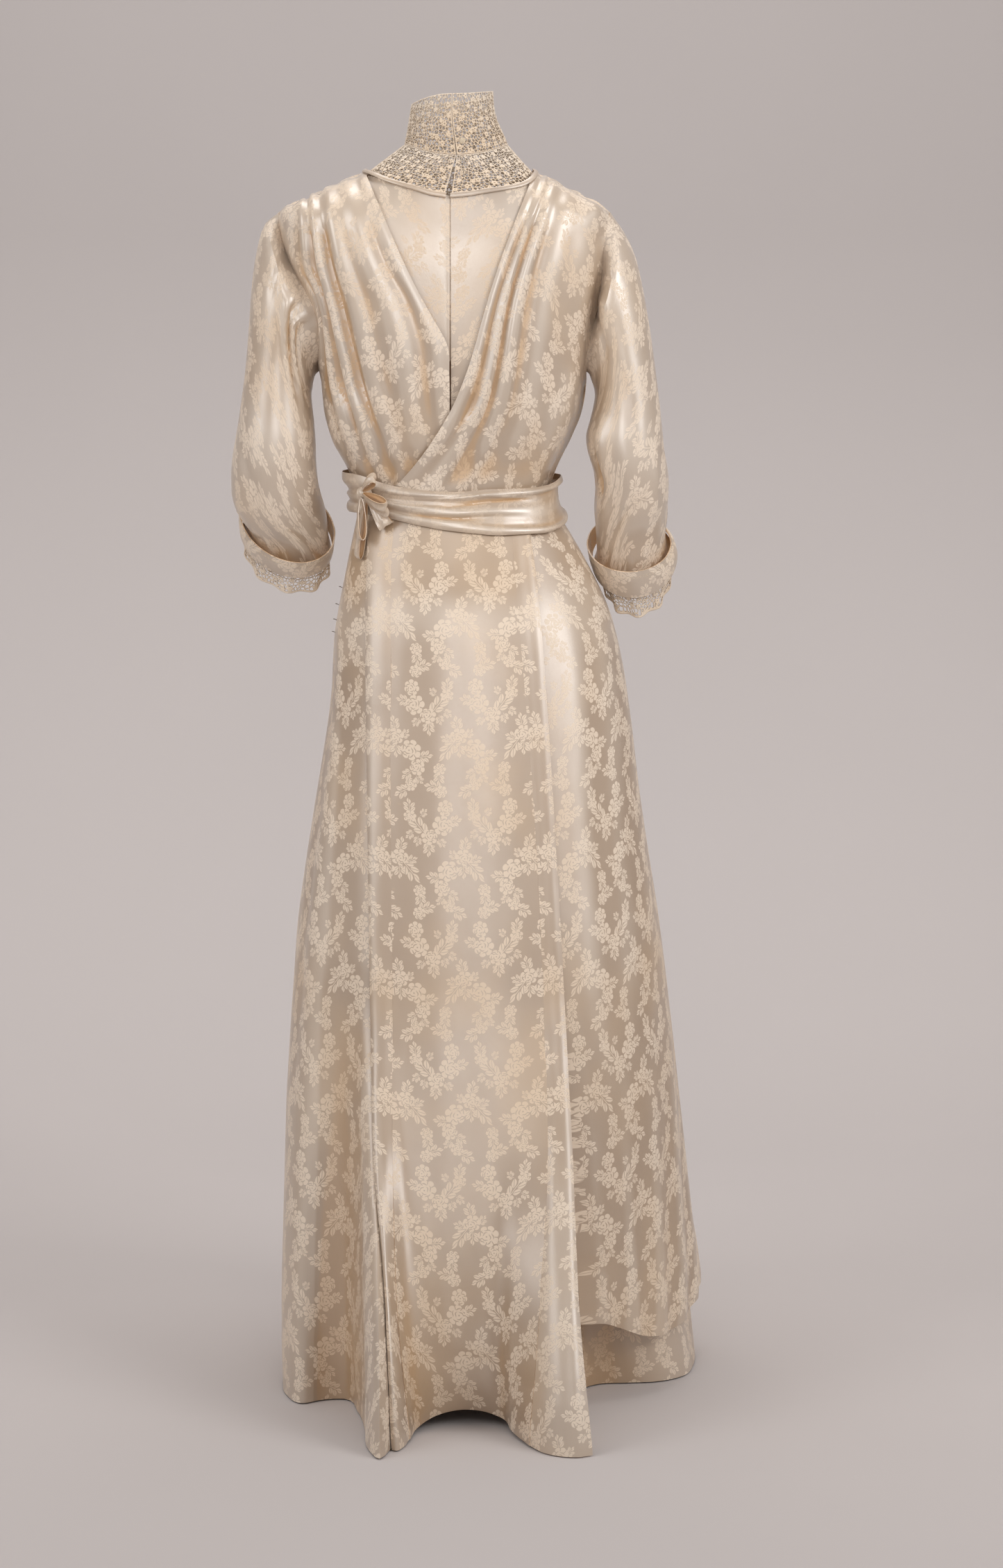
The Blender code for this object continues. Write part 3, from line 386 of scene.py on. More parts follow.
# Folds of the left back, from the side to the edge at the centre back. Each line runs from the
# shoulder seam down to the waist, and lift is how far it stands out: crests high, troughs low.
LEFT_BACK_LINES = Table.read("place top at_1250 at_1200 at_1150 at_1100 at_1050 at_waist lift", """
1 -181 -171 -148 -142 -138 -126 -97 4
2 -172 -164 -146 -139 -132 -119 -91 0.8
3 -164 -157 -142 -134 -124 -111 -85 6.6
4 -159 -150 -136 -126 -115 -101 -76 0
5 -153 -143 -130 -118 -106 -90 -67 7.6
6 -146 -132 -119 -107 -94 -78 -57 0
7 -137 -121 -106 -95 -83 -66 -48 6.6
8 -126 -106 -90 -77 -65 -52 -38 3.4
9 -115 -88 -66 -52 -44 -35 -26 5
10 -105 -72 -46 -31 -25 -19 -15 0.4
11 -98.5 -58 -33 -12 -9 -7 -6 3
12 -94.5 -53 -28 -3 -2 -2 -2 1""")

# Folds of the right back, from its lapping edge to the side, described the same way.
RIGHT_BACK_LINES = Table.read("place top at_1250 at_1200 at_1150 at_1100 at_1050 at_waist lift", """
1 92.4 55 39 25 7 -22 -72 1
2 96 59 43 30 13 -16 -64 4.5
3 100.5 65 49 38 25 -3 -49 0
4 105 71 57 47 36 10 -33 7.5
5 109.5 77 63 54 44 23 -13 0.4
6 114.5 84 70 62 53 36 7 5.5
7 122 96 84 76 68 52 27 0
8 131 112 101 94 86 70 45 1.6
9 145 130 121 114 106 90 63 0
10 160 149 143 135 127 108 82 1""")

# Gathers of the plain front: place along the top and along the waist, as shares of the width.
FRONT_LINES = Table.read("place top_share waist_share lift", """
1 0.055 0.07 2.5
2 0.085 0.13 0
3 0.115 0.19 3
4 0.15 0.24 0
5 0.2 0.29 2.6
6 0.258 0.34 0
7 0.274 0.38 0.6
8 0.3 0.41 0
9 0.345 0.44 0
10 0.42 0.47 0
11 0.52 0.51 0.6
12 0.62 0.55 0
13 0.695 0.58 0
14 0.74 0.61 0
15 0.766 0.64 0.6
16 0.782 0.68 0
17 0.835 0.73 2.6
18 0.872 0.78 0
19 0.9 0.83 3
20 0.925 0.88 0
21 0.95 0.94 2.5""")

# Lines of the skirt's back panel and its pleat strips: place across at five heights, and where
# the line meets the floor (behind is the distance behind the axis, rise the height of the hem).
BACK_PANEL_LINES = Table.read("place at_waist at_900 at_550 at_300 at_150 floor_x behind rise lift", """
1 -60 -62 -62 -61 -57 -43 402 2 0.4
2 -50 -52 -53 -52 -48 -36 372 5 0.3
3 -34 -36 -36 -34 -30 -16 350 12 0
4 -14 -13 -10 -5 0 12 342 16 0.4
5 8 10 16 24 28 36 344 14 0
6 28 30 42 50 50 53 352 9 0.4
7 46 50 66 72 66 62 380 4 0
8 64 69 94 101 92 80 424 1 0""")

LEFT_PLEAT_LINES = Table.read("place at_waist at_900 at_550 at_300 at_150 floor_x behind rise lift", """
1 -88 -89 -87 -82 -69 -62 436 0 0.4
2 -85 -86 -84 -79 -67 -58 438 0 1.6
3 -74 -75 -75 -71 -63 -50 425 0 1.8
4 -60.9 -62.9 -62.9 -61.9 -57.9 -44 402.5 2 0.45""")

RIGHT_PLEAT_LINES = Table.read("place at_waist at_900 at_550 at_300 at_150 floor_x behind rise lift", """
1 64.9 69.9 94.9 101.9 92.9 81 425 1 0.1
2 68 73 98 106 101 92 444 0 0.4
3 72 81 104 115 114 112 460 0 0.5
4 75 88 110 122 126 130 463 0 0.9
5 77 91 114 126 131 144 456 0 0.2""")

# Lines of the gores by angle round the form, with the floor point where the hem has a flute.
# Reach is the share of the way to that point, train the share of the back panel's outward swing
# that the line follows, and lift the height of its soft fold half way down.
GORE_COLUMNS = "place at_waist at_550 at_floor floor_x behind reach train lift"
LEFT_GORE_LINES = Table.read(GORE_COLUMNS, """
1 -40 -27 -19 -48 384 1 0.7 0
2 -46 -30 -22 -57 402 1 0.75 2
3 -52 -33 -25 -68 440 1 0.85 4
4 -57 -35 -28 -77 466 1 0.88 4.5
5 -61 -37.5 -31 -88 436 1 0.8 4.5
6 -64 -40 -33.5 -95 352 1 0.5 4
7 -67 -43 -37 -104 290 1 0.22 3
8 -71 -47 -42 -120 244 1 0.05 2
9 -76 -53 -50 -142 246 1 0 2
10 -82 -62 -62 -166 260 1 0 5
11 -91 -76 -77 -186 222 1 0 0
12 -100 -90 -90 -190 182 0.6 0 3
13 -111 -105 -104 -186 130 0 0 0
14 -124.8 -121.8 -119.8 -160 40 0 0 0""")

RIGHT_GORE_LINES = Table.read(GORE_COLUMNS, """
1 32 16 17 114 438 1 1 0
2 34 18 19 128 441 1 1 0
3 37 20 20.5 135 408 1 0.85 0
4 40 22 22 136 330 1 0.5 0
5 43 24 23.5 137 262 1 0.22 0
6 46 26.5 26 144 208 1 0 0
7 51 32 30 165 188 1 0 0
8 57 41 39 197 184 1 0 0
9 64 52 51.5 231 179 1 0 0
10 72 64 66 259 150 0 0 0
11 82 77 80 276 108 0 0 0
12 93 90 92 281 60 0 0 0
13 108 105 105 270 0 0 0 0
14 124.8 121.8 119.8 230 -60 0 0 0""")

FRONT_GORE_LINES = Table.read(GORE_COLUMNS, """
1 125.2 122.2 120.2 0 0 0 0 0
2 139 137 136 0 0 0 0 2
3 153 152 152 0 0 0 0 0
4 167 166 166 0 0 0 0 3
5 181 180 180 0 0 0 0 0
6 195 194 194 0 0 0 0 3
7 208 208 208 0 0 0 0 0
8 221 223 224 0 0 0 0 2
9 234.8 237.8 239.8 0 0 0 0 0""")

# The overskirt's front edge by height, its hem by angle, and its soft folds by share of width.
OVERSKIRT_EDGE = Table.read("height angle", """
60 92
120 97
250 108
450 124
650 144
800 162
985 186""")
OVERSKIRT_START = Table.read("height angle", """
60 26.5
300 26
380 24.5
450 21.5
700 21
900 26
985 38""")
OVERSKIRT_HEM = Table.read("angle height", """
20 88
30 86
38 74
45 64
52 61
58 63
68 72
77 80
92 79""")
OVERSKIRT_LINES = Table.read("share lift hem_lift", """
0 0 0
0.06 0.2 1
0.13 1.8 0
0.2 0.2 3
0.28 1.2 0
0.37 0 4
0.46 0.9 0
0.55 0 5
0.65 0.8 1
0.75 0 6
0.84 0.8 0
0.92 0 4
1 0.6 9""")

# Sleeve sections from shoulder to wrist: the point nearest the body, the point farthest from it,
# and the middle of the section front to back. Lean tips the section so that its back is lower.
SLEEVE_COLUMNS = "section inner_x inner_z outer_x outer_z middle_y half_depth lean"
LEFT_SLEEVE = Table.read(SLEEVE_COLUMNS, """
1 -154 1122 -207 1293 -3 61 0
2 -156 1114 -218 1258 -4 59 0
3 -157 1107 -225 1206 -6 56 0
4 -158 1098 -229 1150 -8 54 0
5 -156 1076 -235 1102 -10 54 0
6 -154 1050 -242 1056 -12 55 5
7 -153 1015 -248 1020 -8 57 16
8 -150 990 -249 992 0 56 28
9 -144 968 -241 973 6 49 38
10 -141 950 -233 960 12 45 45
11 -140 934 -234 950 21 45 48
12 -137.8 924.6 -238.2 947.4 24 51.7 50""")
RIGHT_SLEEVE = Table.read(SLEEVE_COLUMNS, """
1 157 1122 190 1289 -3 61 0
2 160 1114 205 1262 -4 59 0
3 162 1107 217 1216 -6 56 0
4 163 1098 226 1160 -8 54 0
5 159 1076 235 1096 -10 53 0
6 153 1055 239 1058 -12 54 4
7 156 1030 242 1032 -9 56 12
8 164 1004 247 1004 -3 56 22
9 163 975 246 976 3 50 30
10 165 948 244 950 9 46 36
11 167 918 246 922 19 46 42
12 163.3 909.2 255.7 915.8 23 55.7 46""")
LEFT_CUFF = Table.read(SLEEVE_COLUMNS, """
1 -133 940 -240 967 13 56 47
2 -134 935 -241 960 17 56 48
3 -134.5 929 -241 953 21 55 49
4 -135.5 924 -240.5 948 24 54 50""")
RIGHT_CUFF = Table.read(SLEEVE_COLUMNS, """
1 155 929 251 932 12 56 32
2 157 922 254 928 15 57 37
3 159 915 257 922 19 58 42
4 161 909 258 916 23 58 46""")
LEFT_FRILL = Table.read(SLEEVE_COLUMNS, """
1 -139.8 924.2 -236.2 946.8 24.5 49.7 50
2 -140 917 -235 938 29 48 48
3 -140.5 909 -235 931 34 48 46
4 -141 902 -235 924 39 48.5 45""")
RIGHT_FRILL = Table.read(SLEEVE_COLUMNS, """
1 165.4 909 253.6 915.4 23.5 53.7 46
2 170 900 252 907 28 51 44
3 174 891 251 899 33 50 42
4 177 881 250 890 37 49.5 41""")

# Waves round each cuff frill, their height, and how far each half stops from its end in degrees.
FRILL_WAVES, FRILL_WAVE_HEIGHT, FRILL_END = 9, 2.2, 0.6

# The collar's rings from its seam to its top edge: size, place and height at the four quarters.
COLLAR = Table.read("ring centre_x half_width centre_y half_depth back_z right_z front_z left_z", """
1 6.5 57.5 -2 56 1367 1379 1372 1380
2 4 52.5 0 51 1388 1396 1388 1392
3 1.5 47.5 3 47 1410 1416 1406 1408
4 2 45.5 6 46 1434 1438 1426 1423""")

# The sash: height of its two edges round the waist, and the draped folds across its width.
SASH_EDGES = Table.read("angle low high", """
-180 966 1008
-110 968 1013
-60 969 1012
-45 967 1006
-30 962 999
0 951 994
20 947 997
45 948 997
65 953 1000
90 961 1008
130 964 1008
180 966 1008""")
SASH_FOLDS = Table.read("share out", """
0 -1.2
0.09 1.6
0.24 2.4
0.34 0.2
0.5 3
0.64 0.8
0.84 3
1 -1""")

# Where the two troughs between the sash's three folds lie at each angle, as shares of its width.
SASH_DRAPE = Table.read("angle lower upper", """
-180 0.34 0.64
-100 0.3 0.6
-60 0.24 0.54
-8 0.29 0.74
30 0.18 0.8
60 0.12 0.84
100 0.24 0.72
180 0.34 0.64""")

# Loops of the sash knot: direction in degrees from straight out to the wearer's right, turning
# up, with its start off the knot's middle, length, ribbon width, half thickness and distance in
# front of the sash.
KNOT_PLACE = (-81.0, 993.0)
LOOPS = Table.read("loop direction start length width bulge stand_off", """
1 203 5.3 38 20 5.5 13.5
2 232 6.4 40 17 4.5 2
3 268 5.6 47 16 4.5 13
4 281 6.4 69 14 3.5 2.5
5 140 5.3 22 16 4.5 13""")


def halve(low: float, high: float, beyond) -> float:
    """The place between low and high where a test first becomes true.

    Args:
        low: A place where the test is false.
        high: A place where it is true.
        beyond: The test, a function of the place.

    Returns:
        The place of the change.
    """
    for _ in range(32):
        middle = 0.5 * (low + high)
        if beyond(middle):
            high = middle
        else:
            low = middle
    return low


def seam_height(x: float) -> float:
    """Height of the shoulder seam above a point x across."""
    side = "right" if x > 0 else "left"
    return halve(ARMHOLE_TOP, 1360.0, lambda height: TORSO.slices.at(side, height) < abs(x))


def neck_reach(side: Side) -> float:
    """How far across from the axis the neckline meets the shoulder seam."""
    angle = 90.0 * side.sign
    return abs(TORSO.point(angle, NECKLINE.at("height", angle))[0])


def top_height(x: float, face: Face = Face.BACK) -> float:
    """Height of the bodice's top edge: the neckline, or the shoulder seam beyond it.

    Args:
        x: Place across from the axis.
        face: The back or the front of the bodice.

    Returns:
        The height above the floor.
    """
    side = Side.RIGHT if x > 0 else Side.LEFT
    if abs(x) >= neck_reach(side):
        return seam_height(x)

    def neck_point(turn: float) -> Array:
        """The neckline's point at an angle from the centre of this face."""
        angle = side.sign * turn if face is Face.BACK else 180.0 - side.sign * turn
        return TORSO.point(angle, NECKLINE.at("height", angle if angle >= -90.0 else angle + 360.0))

    turn = halve(0.0, 90.0, lambda angle: abs(neck_point(angle)[0]) > abs(x))
    return neck_point(turn)[2]


def side_edge(side: Side, face: Face, height: float) -> float:
    """Across position of the armhole's edge, or of the side seam below it.

    Args:
        side: The gown's side.
        face: The back or the front.
        height: Height above the floor.

    Returns:
        The place across from the axis.
    """
    if height >= ARMHOLE_TOP:
        return side.sign * TORSO.slices.at(side.value, ARMHOLE_TOP)
    if height <= ARMHOLE_BOTTOM:
        return side.sign * TORSO.slices.at(side.value, height)
    return ARMHOLE.at(f"{side.value}_{face.value}", height)


def refine(grid: Array, step: float, closed: bool) -> Array:
    """Run a smooth curve through the points of each row, and place new points along it.

    Args:
        grid: Rows of points.
        step: Distance between the new points, in millimetres.
        closed: Whether each row joins its own start.

    Returns:
        The finer grid, with the old points among the new ones.
    """
    ends = np.concatenate([grid[:, -1:], grid, grid[:, :2]], axis=1) if closed else grid
    rises = np.diff(ends, axis=1)
    gaps = np.maximum(np.linalg.norm(rises, axis=2, keepdims=True), 0.02)
    chords = rises / gaps
    slopes = np.empty_like(ends)
    slopes[:, 0], slopes[:, -1] = chords[:, 0], chords[:, -1]
    before, after = gaps[:, :-1], gaps[:, 1:]
    slopes[:, 1:-1] = (chords[:, :-1] * after + chords[:, 1:] * before) / (before + after)
    first, last = (1, ends.shape[1] - 2) if closed else (0, ends.shape[1] - 1)
    strips = []
    for c in range(first, last):
        count = max(2, int(round(float(gaps[:, c].mean()) / step)))
        t = (np.arange(count) / count)[None, :, None]
        start, end = ends[:, c, None], ends[:, c + 1, None]
        gap = gaps[:, c, None]
        bend = (t**3 - 2 * t**2 + t) * gap * slopes[:, c, None]
        bend = bend + (t**3 - t**2) * gap * slopes[:, c + 1, None]
        strips.append(start + (end - start) * (3 * t**2 - 2 * t**3) + bend)
    if not closed:
        strips.append(ends[:, -1:])
    return np.concatenate(strips, axis=1)


def blurred(field: Array, reach: int, closed: bool) -> Array:
    """A grid of values averaged over its neighbours.

    Args:
        field: Rows of values or points.
        reach: How many neighbours each way.
        closed: Whether the rows join end to end.

    Returns:
        The averaged grid.
    """
    for axis in (0, 1):
        pad = [(0, 0)] * field.ndim
        pad[axis] = (reach, reach)
        wide = np.pad(field, pad, mode="wrap" if closed and axis == 1 else "edge")
        total = np.insert(np.cumsum(wide, axis=axis), 0, 0, axis=axis)
        size = 2 * reach + 1
        count = field.shape[axis]
        upper = np.take(total, range(size, size + count), axis=axis)
        field = (upper - np.take(total, range(count), axis=axis)) / size
    return field


def mix_corners(values: Array, rows: tuple, columns: tuple, down: Array, across: Array) -> Array:
    """Values between the points of a grid, mixed from their four neighbours.

    Args:
        values: The grid.
        rows: The rows before and after each place.
        columns: The columns before and after each place.
        down: Shares of the way from one row to the next.
        across: Shares of the way from one column to the next.

    Returns:
        The mixed values.
    """
    first, last = (mix(values[rows[0], column], values[rows[1], column], down) for column in columns)
    return mix(first, last, across)


def lattice_noise(across: Array, down: Array, size: float, seed: int) -> Array:
    """Soft uneven heights from -1 to 1, the same at each run.

    Args:
        across: Places across the cloth.
        down: Places down the cloth.
        size: Distance between one rise and the next.
        seed: Picks the heights.

    Returns:
        A height for each place.
    """
    count = 64
    heights = np.random.default_rng(seed).uniform(-1, 1, (count, count))
    x, y = across / size, down / size
    i, j = np.floor(x).astype(int), np.floor(y).astype(int)
    places = (i % count, (i + 1) % count), (j % count, (j + 1) % count)
    return mix_corners(heights, *places, ease(x - i), ease(y - j))


@dataclass(frozen=True)
class Crease:
    """A soft ridge or trough pressed into a piece of cloth, in millimetres along the cloth."""

    across: float
    down: float
    to_across: float
    to_down: float
    rise: float
    width: float

    def height(self, across: Array, down: Array) -> Array:
        """How far the crease moves the cloth outward.

        Args:
            across: Places across from the grain line.
            down: Places down from the top edge.

        Returns:
            The rise at each place.
        """
        run = np.array([self.to_across - self.across, self.to_down - self.down])
        length = float(run @ run)
        t = ((across - self.across) * run[0] + (down - self.down) * run[1]) / length
        t = np.clip(t, 0.0, 1.0)
        away = np.hypot(across - self.across - t * run[0], down - self.down - t * run[1])
        taper = np.sin(np.pi * np.clip(t, 0.02, 0.98)) ** 0.6
        return self.rise * taper * np.exp(-((away / (self.width * (0.55 + 0.45 * taper))) ** 2))


def creases(text: str) -> tuple:
    """Creases from text with the sizes of one on each line."""
    return tuple(Crease(*map(float, row.split())) for row in text.split("\n") if row)


@dataclass
class Surface:
    """A smooth sheet of points, rows running down it and columns across."""

    points: Array
    closed: bool = False
    cloth: tuple | None = None

    @classmethod
    def through(cls, coarse: Array, steps: tuple, closed: bool) -> "Surface":
        """A smooth surface through a coarse grid of points.

        Args:
            coarse: Rows of points.
            steps: Distance between the new points across and down.
            closed: Whether the rows join end to end.

        Returns:
            The finer surface.
        """
        across = refine(np.array(coarse, float), steps[0], closed)
        down = refine(across.transpose(1, 0, 2), steps[1], False)
        return cls(down.transpose(1, 0, 2), closed)

    def normals(self) -> Array:
        """Directions straight out of the gown, or out of the tube if the surface is closed."""
        if self.closed:
            across = np.roll(self.points, -1, axis=1) - np.roll(self.points, 1, axis=1)
            centre = self.points.mean(axis=1, keepdims=True)
        else:
            across = np.gradient(self.points, axis=1)
            centre = self.points * np.array([0.0, 0.0, 1.0])
        found = np.cross(across, np.gradient(self.points, axis=0))
        found /= np.maximum(np.linalg.norm(found, axis=2, keepdims=True), 1e-9)
        outward = ((self.points - centre) * found).sum()
        return found if outward >= 0 else -found

    def lengths(self, grain: float) -> tuple[Array, Array]:
        """Real lengths along the cloth at each point.

        Args:
            grain: Share of the way across where the lengths across are counted from.

        Returns:
            Lengths across and lengths down. A closed surface gets one more column.
        """
        points = self.points
        if self.closed:
            points = np.concatenate([points, points[:, :1]], axis=1)
        runs = [np.linalg.norm(np.diff(points, axis=axis), axis=2).cumsum(axis=axis) for axis in (1, 0)]
        across, down = np.pad(runs[0], ((0, 0), (1, 0))), np.pad(runs[1], ((1, 0), (0, 0)))
        column = int(round(grain * (points.shape[1] - 1)))
        return across - across[:, column : column + 1], down

    def spots(self, across: Array, down: Array) -> tuple[Array, Array]:
        """Points of the surface and directions out of it.

        Args:
            across: Shares of the way across.
            down: Shares of the way down.

        Returns:
            The points and the directions.
        """
        rows, columns = self.points.shape[:2]
        r, c = np.clip(down, 0, 1) * (rows - 1), np.clip(across, 0, 1) * (columns - 1)
        i, j = np.minimum(r.astype(int), rows - 2), np.minimum(c.astype(int), columns - 2)
        r, c = (r - i)[..., None], (c - j)[..., None]
        sheets = self.points, self.normals()
        return tuple(mix_corners(values, (i, i + 1), (j, j + 1), r, c) for values in sheets)

    def pressed(self, heights: Array) -> "Surface":
        """The surface with each point moved outward by its own height."""
        return Surface(self.points + self.normals() * heights[..., None], self.closed, self.cloth)

    def lengthened(self, by: tuple, tucked: float) -> "Surface":
        """The surface with its edges drawn on by so many millimetres, and its top edge tucked in.

        Args:
            by: How far the top, bottom, first and last edge go on.
            tucked: How far the top edge then turns inward.

        Returns:
            The longer surface.
        """
        points = self.points.copy()
        inward = self.normals()[:1] * tucked
        sheets = (points,) if self.closed else (points, points.transpose(1, 0, 2))
        for place, (edge, step) in enumerate(((0, 1), (-1, -1))):
            for sheet, length in zip(sheets, by[place::2]):
                run = sheet[edge] - sheet[edge + step * min(3, len(sheet) - 1)]
                sheet[edge] += run / np.maximum(np.linalg.norm(run, axis=1, keepdims=True), 1e-6) * length
        cloth = self.cloth
        if tucked:
            points = np.concatenate([points[:1] - inward, points])
            if cloth:
                across, down = cloth
                cloth = np.concatenate([across[:1], across]), np.concatenate([down[:1] - tucked, down])
        return Surface(points, self.closed, cloth)

    def hollows(self) -> Array:
        """How deep each point lies below its surroundings, in millimetres."""
        around = blurred(self.points, 5, self.closed) - self.points
        return (around * self.normals()).sum(axis=2)

    def cut(self, allowance: float) -> tuple[tuple[float, float], float]:
        """The flat cut that the piece was sewn from, in metres.

        Args:
            allowance: Seam allowance on each edge, in millimetres.

        Returns:
            The cut's width and length, and its area.
        """
        across, down = self.lengths(0.0)
        width = float(across[:, -1].max()) + 2 * allowance
        length = float(down[-1].max()) + 2 * allowance
        points = np.concatenate([self.points, self.points[:, :1]], axis=1) if self.closed else self.points
        diagonals = points[1:, 1:] - points[:-1, :-1], points[1:, :-1] - points[:-1, 1:]
        area = 0.5 * float(np.linalg.norm(np.cross(*diagonals), axis=2).sum())
        area += 2 * allowance * float(across[:, -1].mean() + down[-1].mean())
        area = min(area, width * length)
        return (round(width * MM, 3), round(length * MM, 3)), round(area * MM * MM, 4)


def link(name: str, mesh: Mesh, material: bpy.types.Material, crease: float = 50.0) -> Piece:
    """Turn a finished mesh into an object with one material, shaded smooth.

    Args:
        name: The piece's name.
        mesh: Its mesh.
        material: Its finish.
        crease: The angle between faces, in degrees, above which an edge stays sharp.

    Returns:
        The new object.
    """
    mesh.materials.append(material)
    mesh.shade_smooth()
    mesh.set_sharp_from_angle(angle=math.radians(crease))
    made = bpy.data.objects.new(name, mesh)
    bpy.context.scene.collection.objects.link(made)
    return made


def finished(name: str, made: Draft) -> Mesh:
    """Turn a draft into a mesh.

    Args:
        name: The mesh's name.
        made: The draft, which is freed.

    Returns:
        The mesh.
    """
    mesh = bpy.data.meshes.new(name)
    made.to_mesh(mesh)
    made.free()
    return mesh


def placed(points: Array) -> Array:
    """Points in millimetres above the floor, as metres in the model's frame."""
    return (points.reshape(-1, 3) - np.array([0.0, 0.0, SHOULDER_HEIGHT])) * MM


@dataclass
class WallMesh:
    """Gathers the vertices, faces and cloth lengths of one piece."""

    points: list
    faces: list
    places: list
    hollow: list
    reverse: list

    @classmethod
    def empty(cls) -> "WallMesh":
        """A mesh with nothing in it yet."""
        return cls([], [], [], [], [])

    def add_layer(self, points: Array, places: Array, hollow: Array, reverse: float) -> int:
        """Add one face of a wall.

        Args:
            points: Its points in metres.
            places: Its lengths across and down in metres, one pair for each point.
            hollow: How deep each point lies.
            reverse: 1 on the cloth's wrong side and 0 on its right side.

        Returns:
            The number of the first new vertex.
        """
        first = sum(len(part) for part in self.points)
        self.points.append(points)
        self.places.append(places)
        self.hollow.append(hollow.ravel())
        self.reverse.append(np.full(len(points), reverse))
        return first

    def build(self, name: str) -> Mesh:
        """Make the mesh, with a map of cloth lengths and what the finishes read.

        Args:
            name: The mesh's name.

        Returns:
            The mesh.
        """
        mesh = bpy.data.meshes.new(name)
        faces = np.concatenate(self.faces)
        mesh.from_pydata(np.concatenate(self.points).tolist(), [], faces.tolist())
        corner = np.zeros(len(mesh.loops), int)
        mesh.loops.foreach_get("vertex_index", corner)
        places = np.concatenate(self.places)[corner]
        layer = mesh.uv_layers.new(name="cloth")
        layer.data.foreach_set("uv", places.astype(np.float32).ravel())
        for title, values in (("hollow", self.hollow), ("reverse", self.reverse)):
            attribute = mesh.attributes.new(title, "FLOAT", "POINT")
            attribute.data.foreach_set("value", np.concatenate(values).astype(np.float32))
        made = bmesh.new()
        made.from_mesh(mesh)
        bmesh.ops.remove_doubles(made, verts=made.verts, dist=1e-7)
        bmesh.ops.recalc_face_normals(made, faces=made.faces)
        made.to_mesh(mesh)
        made.free()
        return mesh


def grid_faces(rows: int, columns: int, first: int) -> Array:
    """Four-cornered faces between the points of a grid.

    Args:
        rows: Rows of points.
        columns: Columns of points.
        first: The number of the grid's first vertex.

    Returns:
        The faces' vertex numbers.
    """
    r, c = np.meshgrid(np.arange(rows - 1), np.arange(columns - 1), indexing="ij")
    corner = first + (r * columns + c).ravel()
    return np.stack([corner, corner + 1, corner + columns + 1, corner + columns], axis=1)


def rim_faces(a: Array, b: Array, outer: int, inner: int) -> Array:
    """Faces that join points a and b of a wall's outer layer to the same points of its inner layer."""
    return np.stack([outer + a, outer + b, inner + b, inner + a], axis=1)


